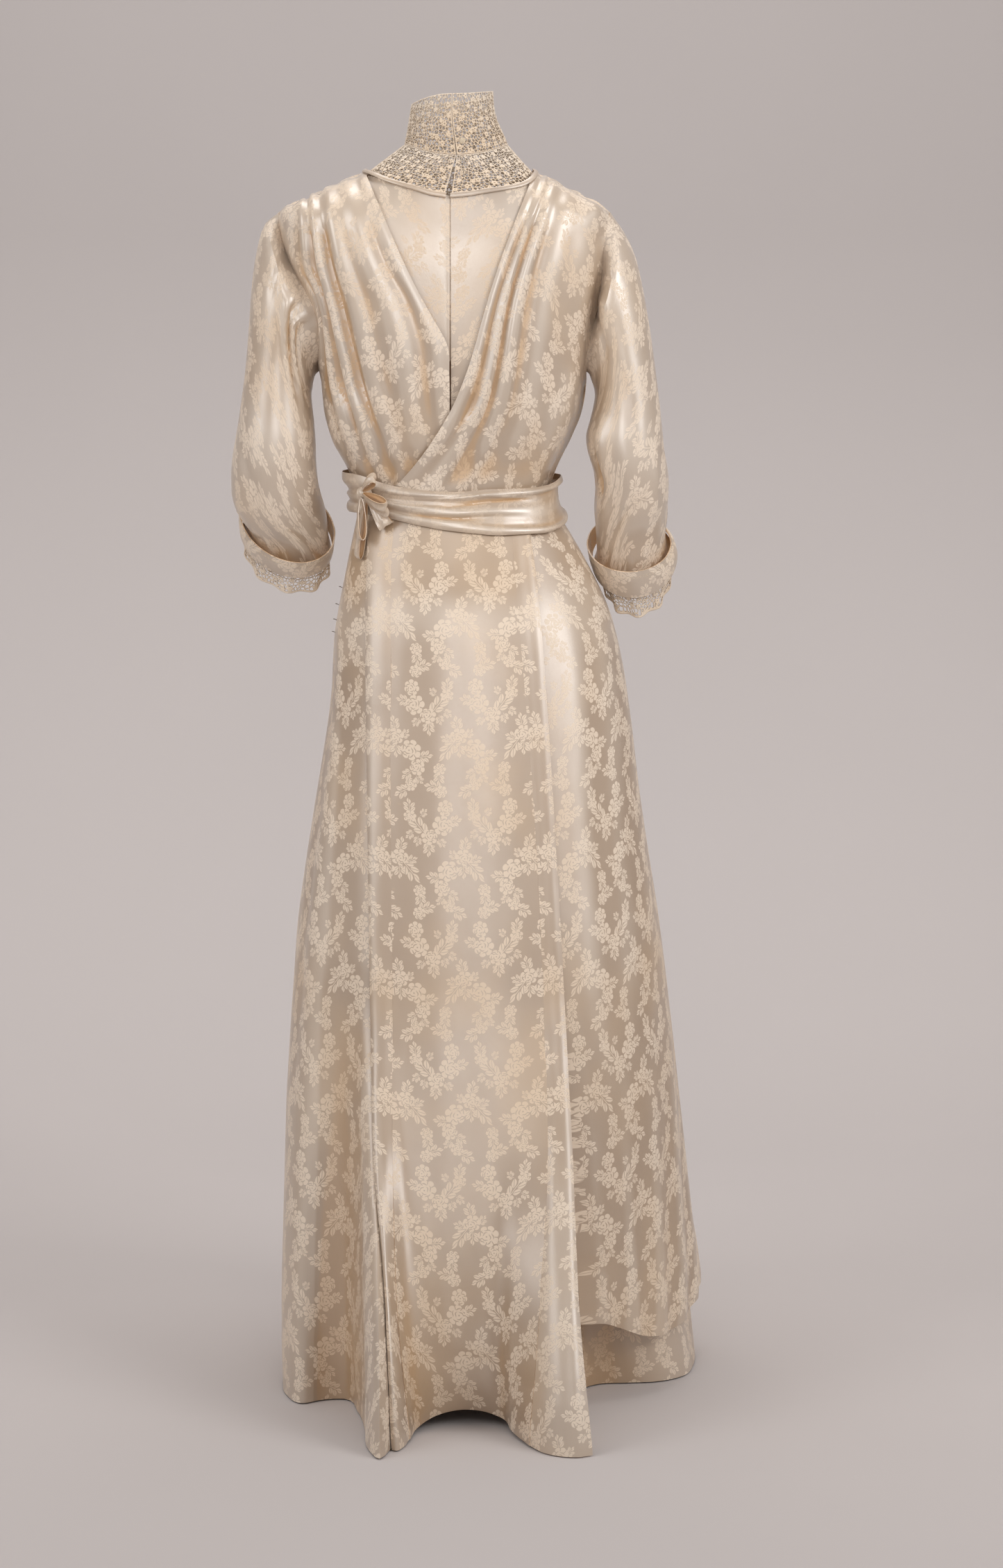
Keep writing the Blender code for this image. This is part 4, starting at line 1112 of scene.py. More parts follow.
@dataclass(kw_only=True)
class ClothPiece:
    """One cut piece of the gown, from its coarse grid of points to its finished shell.

    The steps are the distances between the shell's points across and down. Grain is the share of
    the way across where the straight thread runs, and pattern_at shifts the woven pattern. Seams
    is how far the top, bottom, first and last edge reach into a seam, and rolled how far each is
    rolled under. Sharpened deepens every trough by a share of its own depth, tucked is how far the
    top edge turns inward, and hem is how far up the turned-up cloth ends, as a faint line.
    """

    name: str
    finish: "Finish"
    thickness: float = SILK_THICKNESS
    closed: bool = False
    steps: tuple = (3.5, 8.0)
    held: Held = Held.HUNG
    rests_on: tuple = ()
    allowance: float = SEAM_ALLOWANCE
    grain: float = 0.5
    turned: bool = False
    pattern_at: tuple = (0.0, 0.0)
    creases: tuple = ()
    crumple: float = 0.35
    seams: tuple = (0.5, 0.0, 0.5, 0.5)
    rolled: tuple = (0.0, 0.0, 0.0, 0.0)
    sharpened: float = 0.0
    tucked: float = 0.0
    hem: float = 0.0
    seed: int = 1
    slot: str = "silk"

    def grid(self) -> Array:
        """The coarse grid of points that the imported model's wall is built on."""
        raise NotImplementedError

    def surface(self) -> Surface:
        """The smooth surface with its creases and the soft unevenness of worn cloth."""
        smooth = Surface.through(self.grid(), self.steps, self.closed)
        across, down = smooth.lengths(self.grain)
        smooth.cloth = across, down
        if self.closed:
            across, down = across[:, :-1], down[:, :-1]
        heights = self.crumple * lattice_noise(across, down * 0.5, 34.0, self.seed)
        heights += 0.3 * self.crumple * lattice_noise(across, down * 0.8, 11.0, self.seed + 7)
        for crease in self.creases:
            heights += crease.height(across, down)
        edges = down, down[-1:] - down, across - across[:, :1], across[:, -1:] - across
        if self.hem:
            heights -= 0.5 * np.exp(-(((edges[1] - self.hem) / 6.0) ** 2))
        for distance, roll in zip(edges, self.rolled):
            heights -= roll * np.clip(1 - np.abs(distance) / (2.6 * max(roll, 0.1)), 0, 1) ** 2
        made = smooth.pressed(heights)
        made = made.pressed(-self.sharpened * np.maximum(made.hollows() - 0.2, 0.0))
        return made.lengthened(self.seams, self.tucked)

    def shell(self, surface: Surface) -> Mesh:
        """A thin closed wall round a surface.

        Args:
            surface: The middle of the wall.

        Returns:
            The mesh.
        """
        rows, columns = surface.points.shape[:2]
        across, down = surface.cloth
        direction = -1.0 if self.turned else 1.0
        places = np.stack([direction * across + self.pattern_at[0], self.pattern_at[1] - down], axis=2)
        normals, hollow, points = surface.normals(), surface.hollows(), surface.points
        if self.closed:
            points, normals = (np.concatenate([a, a[:, :1]], axis=1) for a in (points, normals))
            hollow = np.concatenate([hollow, hollow[:, :1]], axis=1)
            columns += 1
        wall = WallMesh.empty()
        places = places.reshape(-1, 2) * MM
        firsts = []
        for sign in (1, -1):
            layer = placed(points + sign * 0.5 * self.thickness * normals)
            firsts.append(wall.add_layer(layer, places, hollow * sign, 0.0 if sign > 0 else 1.0))
            wall.faces.append(grid_faces(rows, columns, firsts[-1]))
        index = np.arange(rows * columns).reshape(rows, columns)
        edges = [index[0], index[-1]] if self.closed else [index[0], index[-1], index[:, 0], index[:, -1]]
        for edge in edges:
            wall.faces.append(rim_faces(edge[:-1], edge[1:], *firsts))
        return wall.build(self.name)

    def declare(self, made: Piece, surface: Surface, solid: float = 1.0) -> None:
        """Hide the model's own node for the piece, put the piece on the root body, and log its flat cut.

        Args:
            made: The finished piece.
            surface: The piece's surface.
            solid: The share of the cut that is thread and not gaps; not used.
        """
        flat, area = surface.cut(self.allowance)
        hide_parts(self.name.removeprefix("sewn_"))
        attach(made, "root")
        list(self.rests_on)
        sizes = *(length / MM for length in flat), len(made.data.polygons)
        LOG.info("%s: cut %.0f x %.0f mm, %d faces", made.name, *sizes)

    def make(self) -> Piece:
        surface = self.surface()
        made = link(self.name, self.shell(surface), self.finish.material())
        self.declare(made, surface)
        return made


# The heights that the columns of the tables of lines are measured at.
BODICE_LEVELS = {
    "at_waist": WAIST_HEIGHT, "at_1250": 1250, "at_1200": 1200, "at_1150": 1150, "at_1100": 1100,
    "at_1050": 1050,
}
PANEL_LEVELS = {
    "at_waist": WAIST_HEIGHT, "at_900": 900, "at_550": 550, "at_300": 300, "at_150": 150, "floor_x": 0,
}
GORE_LEVELS = {"at_waist": WAIST_HEIGHT, "at_550": 550, "at_floor": 0}

# Powers that set the rows of a grid: above 1 they close up at its top, below 1 at its bottom.
BODICE_ROW_POWER = 1.45
SLEEVE_ROW_POWER = 0.9
SKIRT_ROW_POWER = 0.92
OVERSKIRT_ROW_POWER = 0.95

# How near the top of its line a level is skipped.
NEAR_THE_TOP = 8.0

# The height below which the two backs cross, and the height over which the crossing sets in.
CROSSING_HEIGHT, CROSSING_FADE = 1112.0, 30.0

# How far each of a drape's outer lines stays in from the one before it, beginning at the armhole.
ARMHOLE_ROOM = 3.0

# How far the skirt's hem stands off the floor.
HEM_RISE = 0.8


def line_table(lines: Table, place: float, levels: dict) -> Table:
    """One line of a table of lines, as its own small table of where it lies at each height."""
    return Table("height spot", *((height, lines.at(column, place)) for column, height in levels.items()))


def bodice_line(lines: Table, place: float, top: float) -> Table:
    """One fold line of the bodice back, from the height where it starts."""
    levels = {column: height for column, height in BODICE_LEVELS.items() if height < top - NEAR_THE_TOP}
    return line_table(lines, place, levels | {"top": top})


def lap_layer(x: float, height: float) -> float:
    """Layer of the right back: it climbs over the left back where the two cross."""
    crossing = ease((14.0 - x) / 24.0) * ease((CROSSING_HEIGHT - height) / CROSSING_FADE)
    return mix(OVER_LAYER, LAP_LAYER, crossing)


def lapped(x: float, height: float) -> float:
    """How far a point of the left back lies below the lapping right back, from 0 to 1."""
    edge = bodice_line(RIGHT_BACK_LINES, 1, WAIST_HEIGHT + 350.0).at("spot", height)
    return ease((x - edge + 14.0) / 20.0) * ease((CROSSING_HEIGHT - height) / CROSSING_FADE)


def settle(xs: list, lifts: list, room: float = 7.0) -> list:
    """Lifts for one row: a fold lies down where its neighbours crowd in on it.

    Args:
        xs: Places of the fold lines across.
        lifts: How far each stands out.
        room: The distance below which a fold starts to lie down.

    Returns:
        The settled lifts.
    """
    settled = []
    for i, lift in enumerate(lifts):
        near = [abs(xs[i] - xs[j]) for j in (i - 1, i + 1) if 0 <= j < len(xs)]
        settled.append(lift * min(1.0, min(near) / room))
    return settled


@dataclass(kw_only=True)
class BackDrape(ClothPiece):
    """A draped back, with a column for each crest and trough and one for its armhole edge."""

    lines: Table
    side: Side
    rows: int = 15

    def layer(self, x: float, height: float) -> float:
        """How far the cloth lies off the form at a point."""
        return OVER_LAYER if self.side is Side.LEFT else lap_layer(x, height)

    def row(self, share: float, places: list, tops: list, tables: list) -> list:
        """One row of points across the drape.

        Args:
            share: Share of the way from the shoulder to the waist.
            places: The fold lines, from the side inward.
            tops: The height where each starts.
            tables: Each line's place across by height.

        Returns:
            The points.
        """
        low = WAIST_HEIGHT + SEAM_GAP
        edge_height = mix(ARMHOLE_TOP, low, share)
        heights = [edge_height] + [mix(top, low, share) for top in tops]
        xs = [side_edge(self.side, Face.BACK, edge_height)]
        for i, (table, height) in enumerate(zip(tables, heights[1:])):
            x = table.at("spot", height)
            if height < ARMHOLE_TOP and i < 4:
                edge = abs(side_edge(self.side, Face.BACK, min(height, ARMHOLE_TOP - 1.0)))
                x = math.copysign(min(abs(x), edge - ARMHOLE_ROOM * (i + 1)), x)
            xs.append(x)
        lifts = [0.0] + [self.lines.at("lift", place) for place in places]
        fade = mix(0.5, 1.0, ease(share * 4)) * mix(1.0, 0.15, ease((share - 0.68) / 0.25))
        points = []
        for x, height, lift in zip(xs, heights, settle(xs, lifts)):
            if self.side is Side.LEFT:
                lift *= 1.0 - 0.8 * lapped(x, height)
            angle = TORSO.back_angle(x, height)
            points.append(TORSO.off(angle, height, self.layer(x, height) + lift * fade, -SHOULDER_GAP))
        return points

    def grid(self) -> Array:
        """Fold lines from the shoulder seam to the waist."""
        places = self.lines.keys if self.side is Side.LEFT else self.lines.keys[::-1]
        tops = [top_height(self.lines.at("top", place)) for place in places]
        tables = [bodice_line(self.lines, place, top) for place, top in zip(places, tops)]
        return np.array([self.row(s, places, tops, tables) for s in shares(self.rows, BODICE_ROW_POWER)])


@dataclass(kw_only=True)
class BackVest(ClothPiece):
    """The flat piece under the drapes, from the centre back out to below the drape's edge."""

    side: Side
    reach: float = 18.0
    bottom: float
    columns: int = 6
    rows: int = 10

    def grid(self) -> Array:
        """Rows from the neckline down to where the drapes cover the vest."""
        lines, place = (RIGHT_BACK_LINES, 1) if self.side is Side.RIGHT else (LEFT_BACK_LINES, 12)
        edge = bodice_line(lines, place, top_height(lines.at("top", place)))
        top_reach = abs(lines.at("top", place)) - 2.5
        sign = self.side.sign

        def point(down: float, share: float) -> Array:
            """A point of the vest."""
            height = mix(top_height(sign * mix(SEAM_GAP, top_reach, share)), self.bottom, down)
            far = min(max(sign * edge.at("spot", height), 0.0) + self.reach, top_reach)
            x = sign * mix(SEAM_GAP, far, share)
            return TORSO.off(TORSO.back_angle(x, height), height, VEST_LAYER, -SHOULDER_GAP)

        return lofted(shares(self.rows, BODICE_ROW_POWER), shares(self.columns + 1), point)


@dataclass(kw_only=True)
class BodiceFront(ClothPiece):
    """The plain front from side seam to side seam, gathered a little at the shoulders."""

    lines: Table
    rows: int = 14

    def grid(self) -> Array:
        """Gather lines from the shoulder seams and neckline to the waist."""
        tips = [side_edge(side, Face.FRONT, ARMHOLE_TOP) for side in Side]
        starts = [0.0, *self.lines.values["top_share"], 1.0]
        ends = [0.0, *self.lines.values["waist_share"], 1.0]
        lifts = [0.0, *self.lines.values["lift"], 0.0]
        inner = [top_height(mix(*tips, start), Face.FRONT) for start in starts[1:-1]]
        tops = [ARMHOLE_TOP, *inner, ARMHOLE_TOP]
        rows = []
        for down in shares(self.rows, BODICE_ROW_POWER):
            heights = [mix(top, WAIST_HEIGHT + SEAM_GAP, down) for top in tops]
            xs = []
            for start, end, height in zip(starts, ends, heights):
                edges = [side_edge(side, Face.FRONT, min(height, ARMHOLE_TOP)) for side in Side]
                xs.append(mix(*edges, mix(start, end, ease(down * 1.2))))
            fade = 1.0 - ease((down - 0.1) / 0.5) * 0.6
            row = []
            for x, height, lift in zip(xs, heights, settle(xs, lifts, 12.0)):
                angle = 180.0 - TORSO.back_angle(x, height)
                row.append(TORSO.off(angle, height, OVER_LAYER + lift * fade, SHOULDER_GAP))
            rows.append(row)
        return np.array(rows)


FLUTE_HEIGHT = 430.0


def skirt_levels(rows: int) -> list:
    """Levels from the waist to the floor, a little closer together near the floor."""
    return [mix(WAIST_HEIGHT - SEAM_GAP, 0.0, share) for share in shares(rows, SKIRT_ROW_POWER)]


def spread(layers: tuple, height: float) -> float:
    """Distance of a layer from the form: close at the waist and loose below the sash."""
    return mix(layers[0], layers[1], ease((WAIST_HEIGHT - 25.0 - height) / SPREAD_DEPTH))


def flute(height: float) -> float:
    """Share of the way from the form to the measured hem point."""
    return max(0.0, (FLUTE_HEIGHT - height) / FLUTE_HEIGHT) ** 1.6


@dataclass(kw_only=True)
class PanelStrip(ClothPiece):
    """A part of the skirt's back: upright lines on the form that swing out into the train."""

    lines: Table
    rows: int = 20

    def grid(self) -> Array:
        """Lines from the waist down the train to the floor."""
        lines = self.lines
        tables = {place: line_table(lines, place, PANEL_LEVELS) for place in lines.keys}

        def point(level: float, place: float) -> Array:
            """A point of one line at one level."""
            height = level + (lines.at("rise", place) + HEM_RISE) * max(0.0, 1.0 - level / 160.0)
            lift = lines.at("lift", place) * ease((1000.0 - height) / 90.0)
            angle = SKIRT.back_angle(tables[place].at("spot", level), height)
            x, y, _ = SKIRT.off(angle, height, spread(PANEL_LAYERS, level) + lift)
            y = mix(y - TRAIN.at("swing", level), -lines.at("behind", place), flute(level))
            return np.array([x, y, height])

        return lofted(skirt_levels(self.rows), lines.keys, point)


@dataclass(kw_only=True)
class Gore(ClothPiece):
    """A gore of the skirt: lines by angle, drawn out to the flutes of the hem where they reach."""

    lines: Table
    rows: int = 16

    def grid(self) -> Array:
        """Lines from the waist to the hem."""
        lines = self.lines
        tables = {place: line_table(lines, place, GORE_LEVELS) for place in lines.keys}

        def point(level: float, place: float) -> Array:
            """A point of one line at one level."""
            height = level + HEM_RISE * max(0.0, 1.0 - level / 100.0)
            lift = lines.at("lift", place) * math.sin(math.pi * (1 - level / WAIST_HEIGHT)) ** 2
            x, y, _ = SKIRT.off(tables[place].at("spot", level), height, UNDER_LAYER + lift)
            y -= TRAIN.at("swing", level) * lines.at("train", place)
            share = flute(level) * lines.at("reach", place)
            x, y = mix(x, lines.at("floor_x", place), share), mix(y, -lines.at("behind", place), share)
            return np.array([x, y, height])

        return lofted(skirt_levels(self.rows), lines.keys, point)


@dataclass(kw_only=True)
class Overskirt(ClothPiece):
    """The tunic on the right, from under the back panel round to its slanting front edge."""

    rows: int = 17

    def grid(self) -> Array:
        """Soft folds from the waist to the shaped hem."""
        def angle_at(height: float, share: float) -> float:
            """The angle of one line between the overskirt's two edges."""
            return mix(OVERSKIRT_START.at("angle", height), OVERSKIRT_EDGE.at("angle", height), share)

        def point(down: float, share: float) -> Array:
            """A point of one line of the overskirt."""
            height = mix(WAIST_HEIGHT - SEAM_GAP, OVERSKIRT_HEM.at("height", angle_at(60.0, share)), down)
            lift = OVERSKIRT_LINES.at("lift", share) * ease(down * 4) * (1 - ease((down - 0.6) / 0.4))
            lift += OVERSKIRT_LINES.at("hem_lift", share) * ease((down - 0.45) / 0.55)
            lift += 3.0 * ease((down - 0.4) / 0.5)
            x, y, _ = SKIRT.off(angle_at(height, share), height, spread(OVERSKIRT_LAYERS, height) + lift)
            return np.array([x, y, height])

        return lofted(shares(self.rows, OVERSKIRT_ROW_POWER), OVERSKIRT_LINES.keys, point)


def section_point(table: Table, section: float, turn: float, grow: float = 0.0) -> Array:
    """A point on a sleeve section.

    Args:
        table: The sleeve's sections.
        section: Place along the sleeve.
        turn: 0 is farthest from the body and 90 is the section's back.
        grow: How much wider than the table's section.

    Returns:
        The point.
    """
    inner = np.array([table.at("inner_x", section), 0.0, table.at("inner_z", section)])
    outer = np.array([table.at("outer_x", section), 0.0, table.at("outer_z", section)])
    middle = 0.5 * (inner + outer)
    middle[1] = table.at("middle_y", section)
    half = 0.5 * (outer - inner)
    half *= 1 + grow / np.linalg.norm(half)
    down, out = polar(table.at("lean", section))
    back = np.array([0.0, -out, -down]) * (table.at("half_depth", section) + grow)
    sine, cosine = polar(turn)
    return middle + half * cosine + back * sine


def armhole_point(side: Side, turn: float) -> Array:
    """A point on the armhole.

    Args:
        side: The gown's side.
        turn: 0 is the shoulder tip, 90 the back edge and 180 the underarm.

    Returns:
        The point.
    """
    middle, reach = 0.5 * (ARMHOLE_TOP + ARMHOLE_BOTTOM), 0.5 * (ARMHOLE_TOP - ARMHOLE_BOTTOM)
    height = middle + reach * polar(turn)[1]
    face = Face.BACK if 0 < turn < 180 else Face.FRONT
    angle = TORSO.back_angle(ARMHOLE.at(f"{side.value}_{face.value}", height), height)
    shift = -SHOULDER_GAP
    if face is Face.FRONT:
        angle, shift = 180.0 - angle, SHOULDER_GAP
    point = TORSO.off(angle, height, OVER_LAYER, shift)
    point[0] += side.sign * ARMHOLE_OVERLAP
    from_top = min(turn % 360, 360 - turn % 360)
    point[2] -= UNDERARM_DROP * ease((from_top - 110) / 60.0)
    return point


@dataclass(kw_only=True)
class Sleeve(ClothPiece):
    """A set-in sleeve lofted from its armhole through its sections."""

    side: Side
    sections: Table
    around: int = 22
    rows: int = 16

    def grid(self) -> Array:
        """Rings from the armhole to the end inside the cuff."""
        def point(share: float, turn: float) -> Array:
            """A point of the sleeve; before the first section it lies between that and the armhole."""
            place = self.sections.keys[-1] * share
            found = section_point(self.sections, max(place, 1.0), turn)
            return found if place >= 1.0 else mix(armhole_point(self.side, turn), found, place)

        return lofted(shares(self.rows, SLEEVE_ROW_POWER), turns(self.around), point)


@dataclass(kw_only=True)
class Cuff(ClothPiece):
    """A turned-back cuff: a flared band with its free edge uppermost."""

    sections: Table
    around: int = 22
    rows: int = 4

    def grid(self) -> Array:
        """Rings from the free edge down to the fold."""
        table = self.sections
        places = [mix(1, table.keys[-1], share) for share in shares(self.rows)]
        return lofted(places, turns(self.around), lambda place, turn: section_point(table, place, turn))


def collar_point(ring: float, turn: float) -> Array:
    """A point on the lace collar.

    Args:
        ring: Place among the collar's rings, from its seam up.
        turn: 0 is the centre back and 90 the wearer's right.

    Returns:
        The point.
    """
    sine, cosine = polar(turn)
    x = COLLAR.at("centre_x", ring) + COLLAR.at("half_width", ring) * sine
    y = COLLAR.at("centre_y", ring) - COLLAR.at("half_depth", ring) * cosine
    side = COLLAR.at("right_z" if sine > 0 else "left_z", ring)
    end = COLLAR.at("back_z" if cosine > 0 else "front_z", ring)
    return np.array([x, y, mix(side, end, cosine * cosine)])


def neck_edge_point(angle: float, layer: float, inset: float) -> Array:
    """A point near the neckline's edge.

    Args:
        angle: Angle round the form.
        layer: Distance off the form.
        inset: How far down the form it lies from the edge.

    Returns:
        The point.
    """
    height = NECKLINE.at("height", angle if angle >= -90.0 else angle + 360.0)
    step = np.linalg.norm(TORSO.point(angle, height + 1.0) - TORSO.point(angle, height - 1.0)) / 2
    return TORSO.off(angle, height - inset / step, layer)


@dataclass(frozen=True)
class LaceNet:
    """The worked ground of the lace: uneven loops of thread with blossoms among them.

    Sizes are in millimetres: the distance between loops, half the width of a thread, the distance
    between blossoms and the size of one, and the width of the solid tape at the edges.
    """

    loop: float = 3.9
    thread: float = 0.40
    blossom_every: float = 10.5
    blossom: float = 3.3
    tape: float = 0.9
    seed: int = 5

    def nearest(self, across: Array, down: Array, size: float, seed: int) -> tuple:
        """Distances to the nearest two of a field of scattered points.

        Args:
            across: Places across the lace.
            down: Places down the lace.
            size: Mean distance between the points.
            seed: Picks their places.

        Returns:
            The distance to the nearest, to the next, and the two parts of the way to the nearest.
        """
        count = 97
        jitter = np.random.default_rng(seed).uniform(0.12, 0.88, (count, count, 2))
        x, y = across / size, down / size
        i, j = np.floor(x).astype(int), np.floor(y).astype(int)
        first, second = np.full((2, *x.shape), 9.0)
        way_x, way_y = np.zeros((2, *x.shape))
        for di in (-1, 0, 1):
            for dj in (-1, 0, 1):
                offset = jitter[(i + di) % count, (j + dj) % count]
                dx, dy = i + di + offset[..., 0] - x, j + dj + offset[..., 1] - y
                distance = np.hypot(dx, dy)
                closer = distance < first
                second = np.where(closer, first, np.minimum(second, distance))
                way_x, way_y = np.where(closer, dx, way_x), np.where(closer, dy, way_y)
                first = np.where(closer, distance, first)
        return first * size, second * size, way_x * size, way_y * size

    def solid(self, across: Array, down: Array) -> Array:
        """How far inside the thread a point lies; below 0 it is in a gap.

        Args:
            across: Places across the lace.
            down: Places down the lace.

        Returns:
            The distance inside the nearest thread.
        """
        near, far, _, _ = self.nearest(across, down, self.loop, self.seed)
        net = self.thread - 0.5 * (far - near)
        away, _, dx, dy = self.nearest(across, down, self.blossom_every, self.seed + 3)
        turn = np.arctan2(dy, dx)
        petals = np.minimum(self.blossom * (0.8 + 0.2 * np.cos(6 * turn)) - away, away - 0.6)
        split = np.abs(np.sin(3 * turn)) * away - 0.42
        petals = np.where(away > 0.45 * self.blossom, np.minimum(petals, split), petals)
        return np.maximum(net, petals)


@dataclass(kw_only=True)
class LacePiece(ClothPiece):
    """A piece of openwork lace: threads with real gaps between them, cut from a fine net of cells."""

    net: LaceNet = LaceNet()
    cell: float = 0.64
    slot: str = "lace"

    def openwork(self, surface: Surface) -> tuple[Mesh, float]:
        """The threads of the lace, rounded, over a surface.

        Args:
            surface: The middle of the lace.

        Returns:
            The mesh, and the share of the piece that is thread.
        """
        across, down = surface.lengths(0.0)
        height, width = float(down[-1].mean()), float(across[:, -1].mean())
        high, wide = int(round(height / self.cell)), int(round(width / self.cell))
        t, s = np.meshgrid(np.linspace(0, 1, high + 1), np.linspace(0, 1, wide + 1), indexing="ij")

        def depth(s: Array, t: Array) -> Array:
            """How far inside the thread or the edge's tape a place lies."""
            edge = np.minimum(np.minimum(s, 1 - s) * width, np.minimum(t, 1 - t) * height)
            return np.maximum(self.net.solid(s * width, t * height), self.net.tape - edge)

        inside = depth(s, t)
        nudge = 0.01
        slope_s = (depth(s + nudge / width, t) - inside) / nudge
        slope_t = (depth(s, t + nudge / height) - inside) / nudge
        middle = 0.25 * (inside[:-1, :-1] + inside[1:, :-1] + inside[:-1, 1:] + inside[1:, 1:])
        kept = middle > 0
        beside = np.zeros(inside.shape, int)
        for shift_r, shift_c in ((0, 0), (1, 0), (0, 1), (1, 1)):
            beside[shift_r : shift_r + high, shift_c : shift_c + wide] += kept
        border = (beside > 0) & (beside < 4)
        border[0] = border[-1] = border[:, 0] = border[:, -1] = False
        steep = np.maximum(slope_s**2 + slope_t**2, 0.25)
        move = np.clip(-inside / steep, -0.45 * self.cell, 0.45 * self.cell)
        s = np.where(border, s + np.clip(move * slope_s, -0.4, 0.4) * self.cell / width, s)
        t = np.where(border, t + np.clip(move * slope_t, -0.4, 0.4) * self.cell / height, t)

        points, normals = surface.spots(s, t)
        relief = 0.5 * self.thickness * (0.4 + np.sqrt(np.clip(inside / 0.5, 0.0, 1.0)))
        relief = np.where(border, 0.18 * self.thickness, relief)[..., None]
        number = np.full(inside.shape, -1)
        number[beside > 0] = np.arange((beside > 0).sum())
        used = beside > 0
        places = np.stack([s * width, -t * height], axis=2)[used] * MM
        # How near a thread's edge a point lies; the lace finish paints brown shade there.
        hollow = np.clip(0.55 - 1.6 * inside, 0, 1)[used]
        wall = WallMesh.empty()
        corners = number[:-1, :-1], number[:-1, 1:], number[1:, 1:], number[1:, :-1]
        corner = np.stack(corners, axis=2)[kept]
        firsts = []
        for sign in (1, -1):
            layer = placed((points + sign * relief * normals)[used])
            firsts.append(wall.add_layer(layer, places, hollow, 0.0 if sign > 0 else 1.0))
            wall.faces.append(corner + firsts[-1])
        around = np.pad(kept, 1)
        top_left, top_right, low_right, low_left = corners
        sides = (
            (around[:-2, 1:-1], top_left, top_right), (around[2:, 1:-1], low_left, low_right),
            (around[1:-1, :-2], top_left, low_left), (around[1:-1, 2:], top_right, low_right),
        )
        for neighbour, start, end in sides:
            open_side = kept & ~neighbour
            wall.faces.append(rim_faces(start[open_side], end[open_side], *firsts))
        return wall.build(self.name), float(kept.mean())

    def make(self) -> Piece:
        surface = Surface.through(self.grid(), self.steps, False).lengthened(self.seams, 0.0)
        mesh, solid = self.openwork(surface)
        made = link(self.name, mesh, self.finish.material(), 120.0)
        self.declare(made, surface, max(solid * 0.9, 0.35))
        return made


@dataclass(kw_only=True)
class CuffFrill(LacePiece):
    """Half a lace frill, waved at its free edge."""

    sections: Table
    first_turn: float
    around: int = 28
    rows: int = 4

    def grid(self) -> Array:
        """Rings from inside the cuff out to the free edge."""
        def point(down: float, share: float) -> Array:
            """A point of the frill, which waves more the nearer it lies to the free edge."""
            turn = self.first_turn + mix(FRILL_END, 180.0 - FRILL_END, share)
            wave = FRILL_WAVE_HEIGHT * down * polar(turn * FRILL_WAVES)[0]
            return section_point(self.sections, mix(1, self.sections.keys[-1], down), turn, wave)

        return lofted(shares(self.rows), shares(self.around + 1), point)


@dataclass(kw_only=True)
class CollarHalf(LacePiece):
    """Half of the high lace collar."""

    side: Side
    around: int = 12
    rows: int = 5

    def grid(self) -> Array:
        """Rings from the top edge down to the collar's seam."""
        first, last = 1.2 * self.side.sign, 179.7 * self.side.sign
        rings = [mix(COLLAR.keys[-1], 1, share) for share in shares(self.rows)]
        return lofted(rings, [mix(first, last, share) for share in shares(self.around + 1)], collar_point)


@dataclass(kw_only=True)
class YokePart(LacePiece):
    """Part of the lace yoke, from the foot of the collar to just above the neckline's edge."""

    first: float
    last: float
    around: int
    rows: int = 4

    def grid(self) -> Array:
        """Rows from the collar's foot down to the neckline."""
        def point(down: float, share: float) -> Array:
            """A point between the collar's foot and the neckline's rim."""
            angle = mix(self.first, self.last, share)
            foot = collar_point(1, angle) - np.array([0, 0, 1.2])
            return mix(foot, neck_edge_point(angle, YOKE_LAYER, YOKE_INSET), down)

        return lofted(shares(self.rows), shares(self.around + 1), point)


# The section of the bias edge, from one turned-under edge over its face to the other: how far down
# from the neckline's edge and how far out.
BINDING_SECTION = (
    (-0.3, -0.5), (-2.2, -0.55), (-2.7, -0.15), (-2.3, 0.3), (-1.2, 0.6), (0.0, 0.7), (1.1, 0.6),
    (2.1, 0.3), (2.5, -0.15), (2.0, -0.55), (0.3, -0.5),
)


@dataclass(kw_only=True)
class NeckBinding(ClothPiece):
    """The narrow bias edge lying over the neckline's seam, open at the centre back."""

    around: int = 60

    def grid(self) -> Array:
        """The strip's rounded face, with both edges turned under."""
        def point(place: tuple, share: float) -> Array:
            """A point of the strip, which rises over the lapping backs."""
            inset, raised = place
            angle = mix(0.6, 359.4, share)
            layer = mix(*BINDING_LAYERS, ease((min(angle, 360.0 - angle) - 32.0) / 20.0))
            return neck_edge_point(angle - 360.0 if angle > 270.0 else angle, layer + raised, inset)

        return lofted(BINDING_SECTION, shares(self.around + 1), point)


def waist_point(angle: float, height: float, distance: float) -> Array:
    """A point off the waist: the bodice's form above the waist seam, the skirt's below it.

    Args:
        angle: Angle round the form.
        height: Height above the floor.
        distance: Distance off the form, level.

    Returns:
        The point.
    """
    form = TORSO if height >= WAIST_HEIGHT else SKIRT
    level = TORSO.outward(angle, WAIST_HEIGHT)
    level[2] = 0.0
    return form.point(angle, height) + level / np.linalg.norm(level) * distance


@dataclass(kw_only=True)
class Sash(ClothPiece):
    """The draped sash round the waist, its folds worked across its width."""

    around: int = 40

    def draped(self, share: float, angle: float) -> float:
        """Where a fold line of the table lies at an angle: the folds slant across the sash."""
        places = (0.0, SASH_DRAPE.at("lower", angle), SASH_DRAPE.at("upper", angle), 1.0)
        return float(np.interp(share, (0.0, 0.34, 0.64, 1.0), places))

    def grid(self) -> Array:
        """Rings from the upper edge to the lower."""
        def point(share: float, turn: float) -> Array:
            """A point of one fold line, with the first at the centre front."""
            angle = turn - 180.0
            ends = SASH_EDGES.at("low", angle), SASH_EDGES.at("high", angle)
            height = mix(*ends, self.draped(share, angle))
            return waist_point(angle, height, SASH_LAYER + SASH_FOLDS.at("out", share))

        return lofted(SASH_FOLDS.keys[::-1], turns(self.around), point)


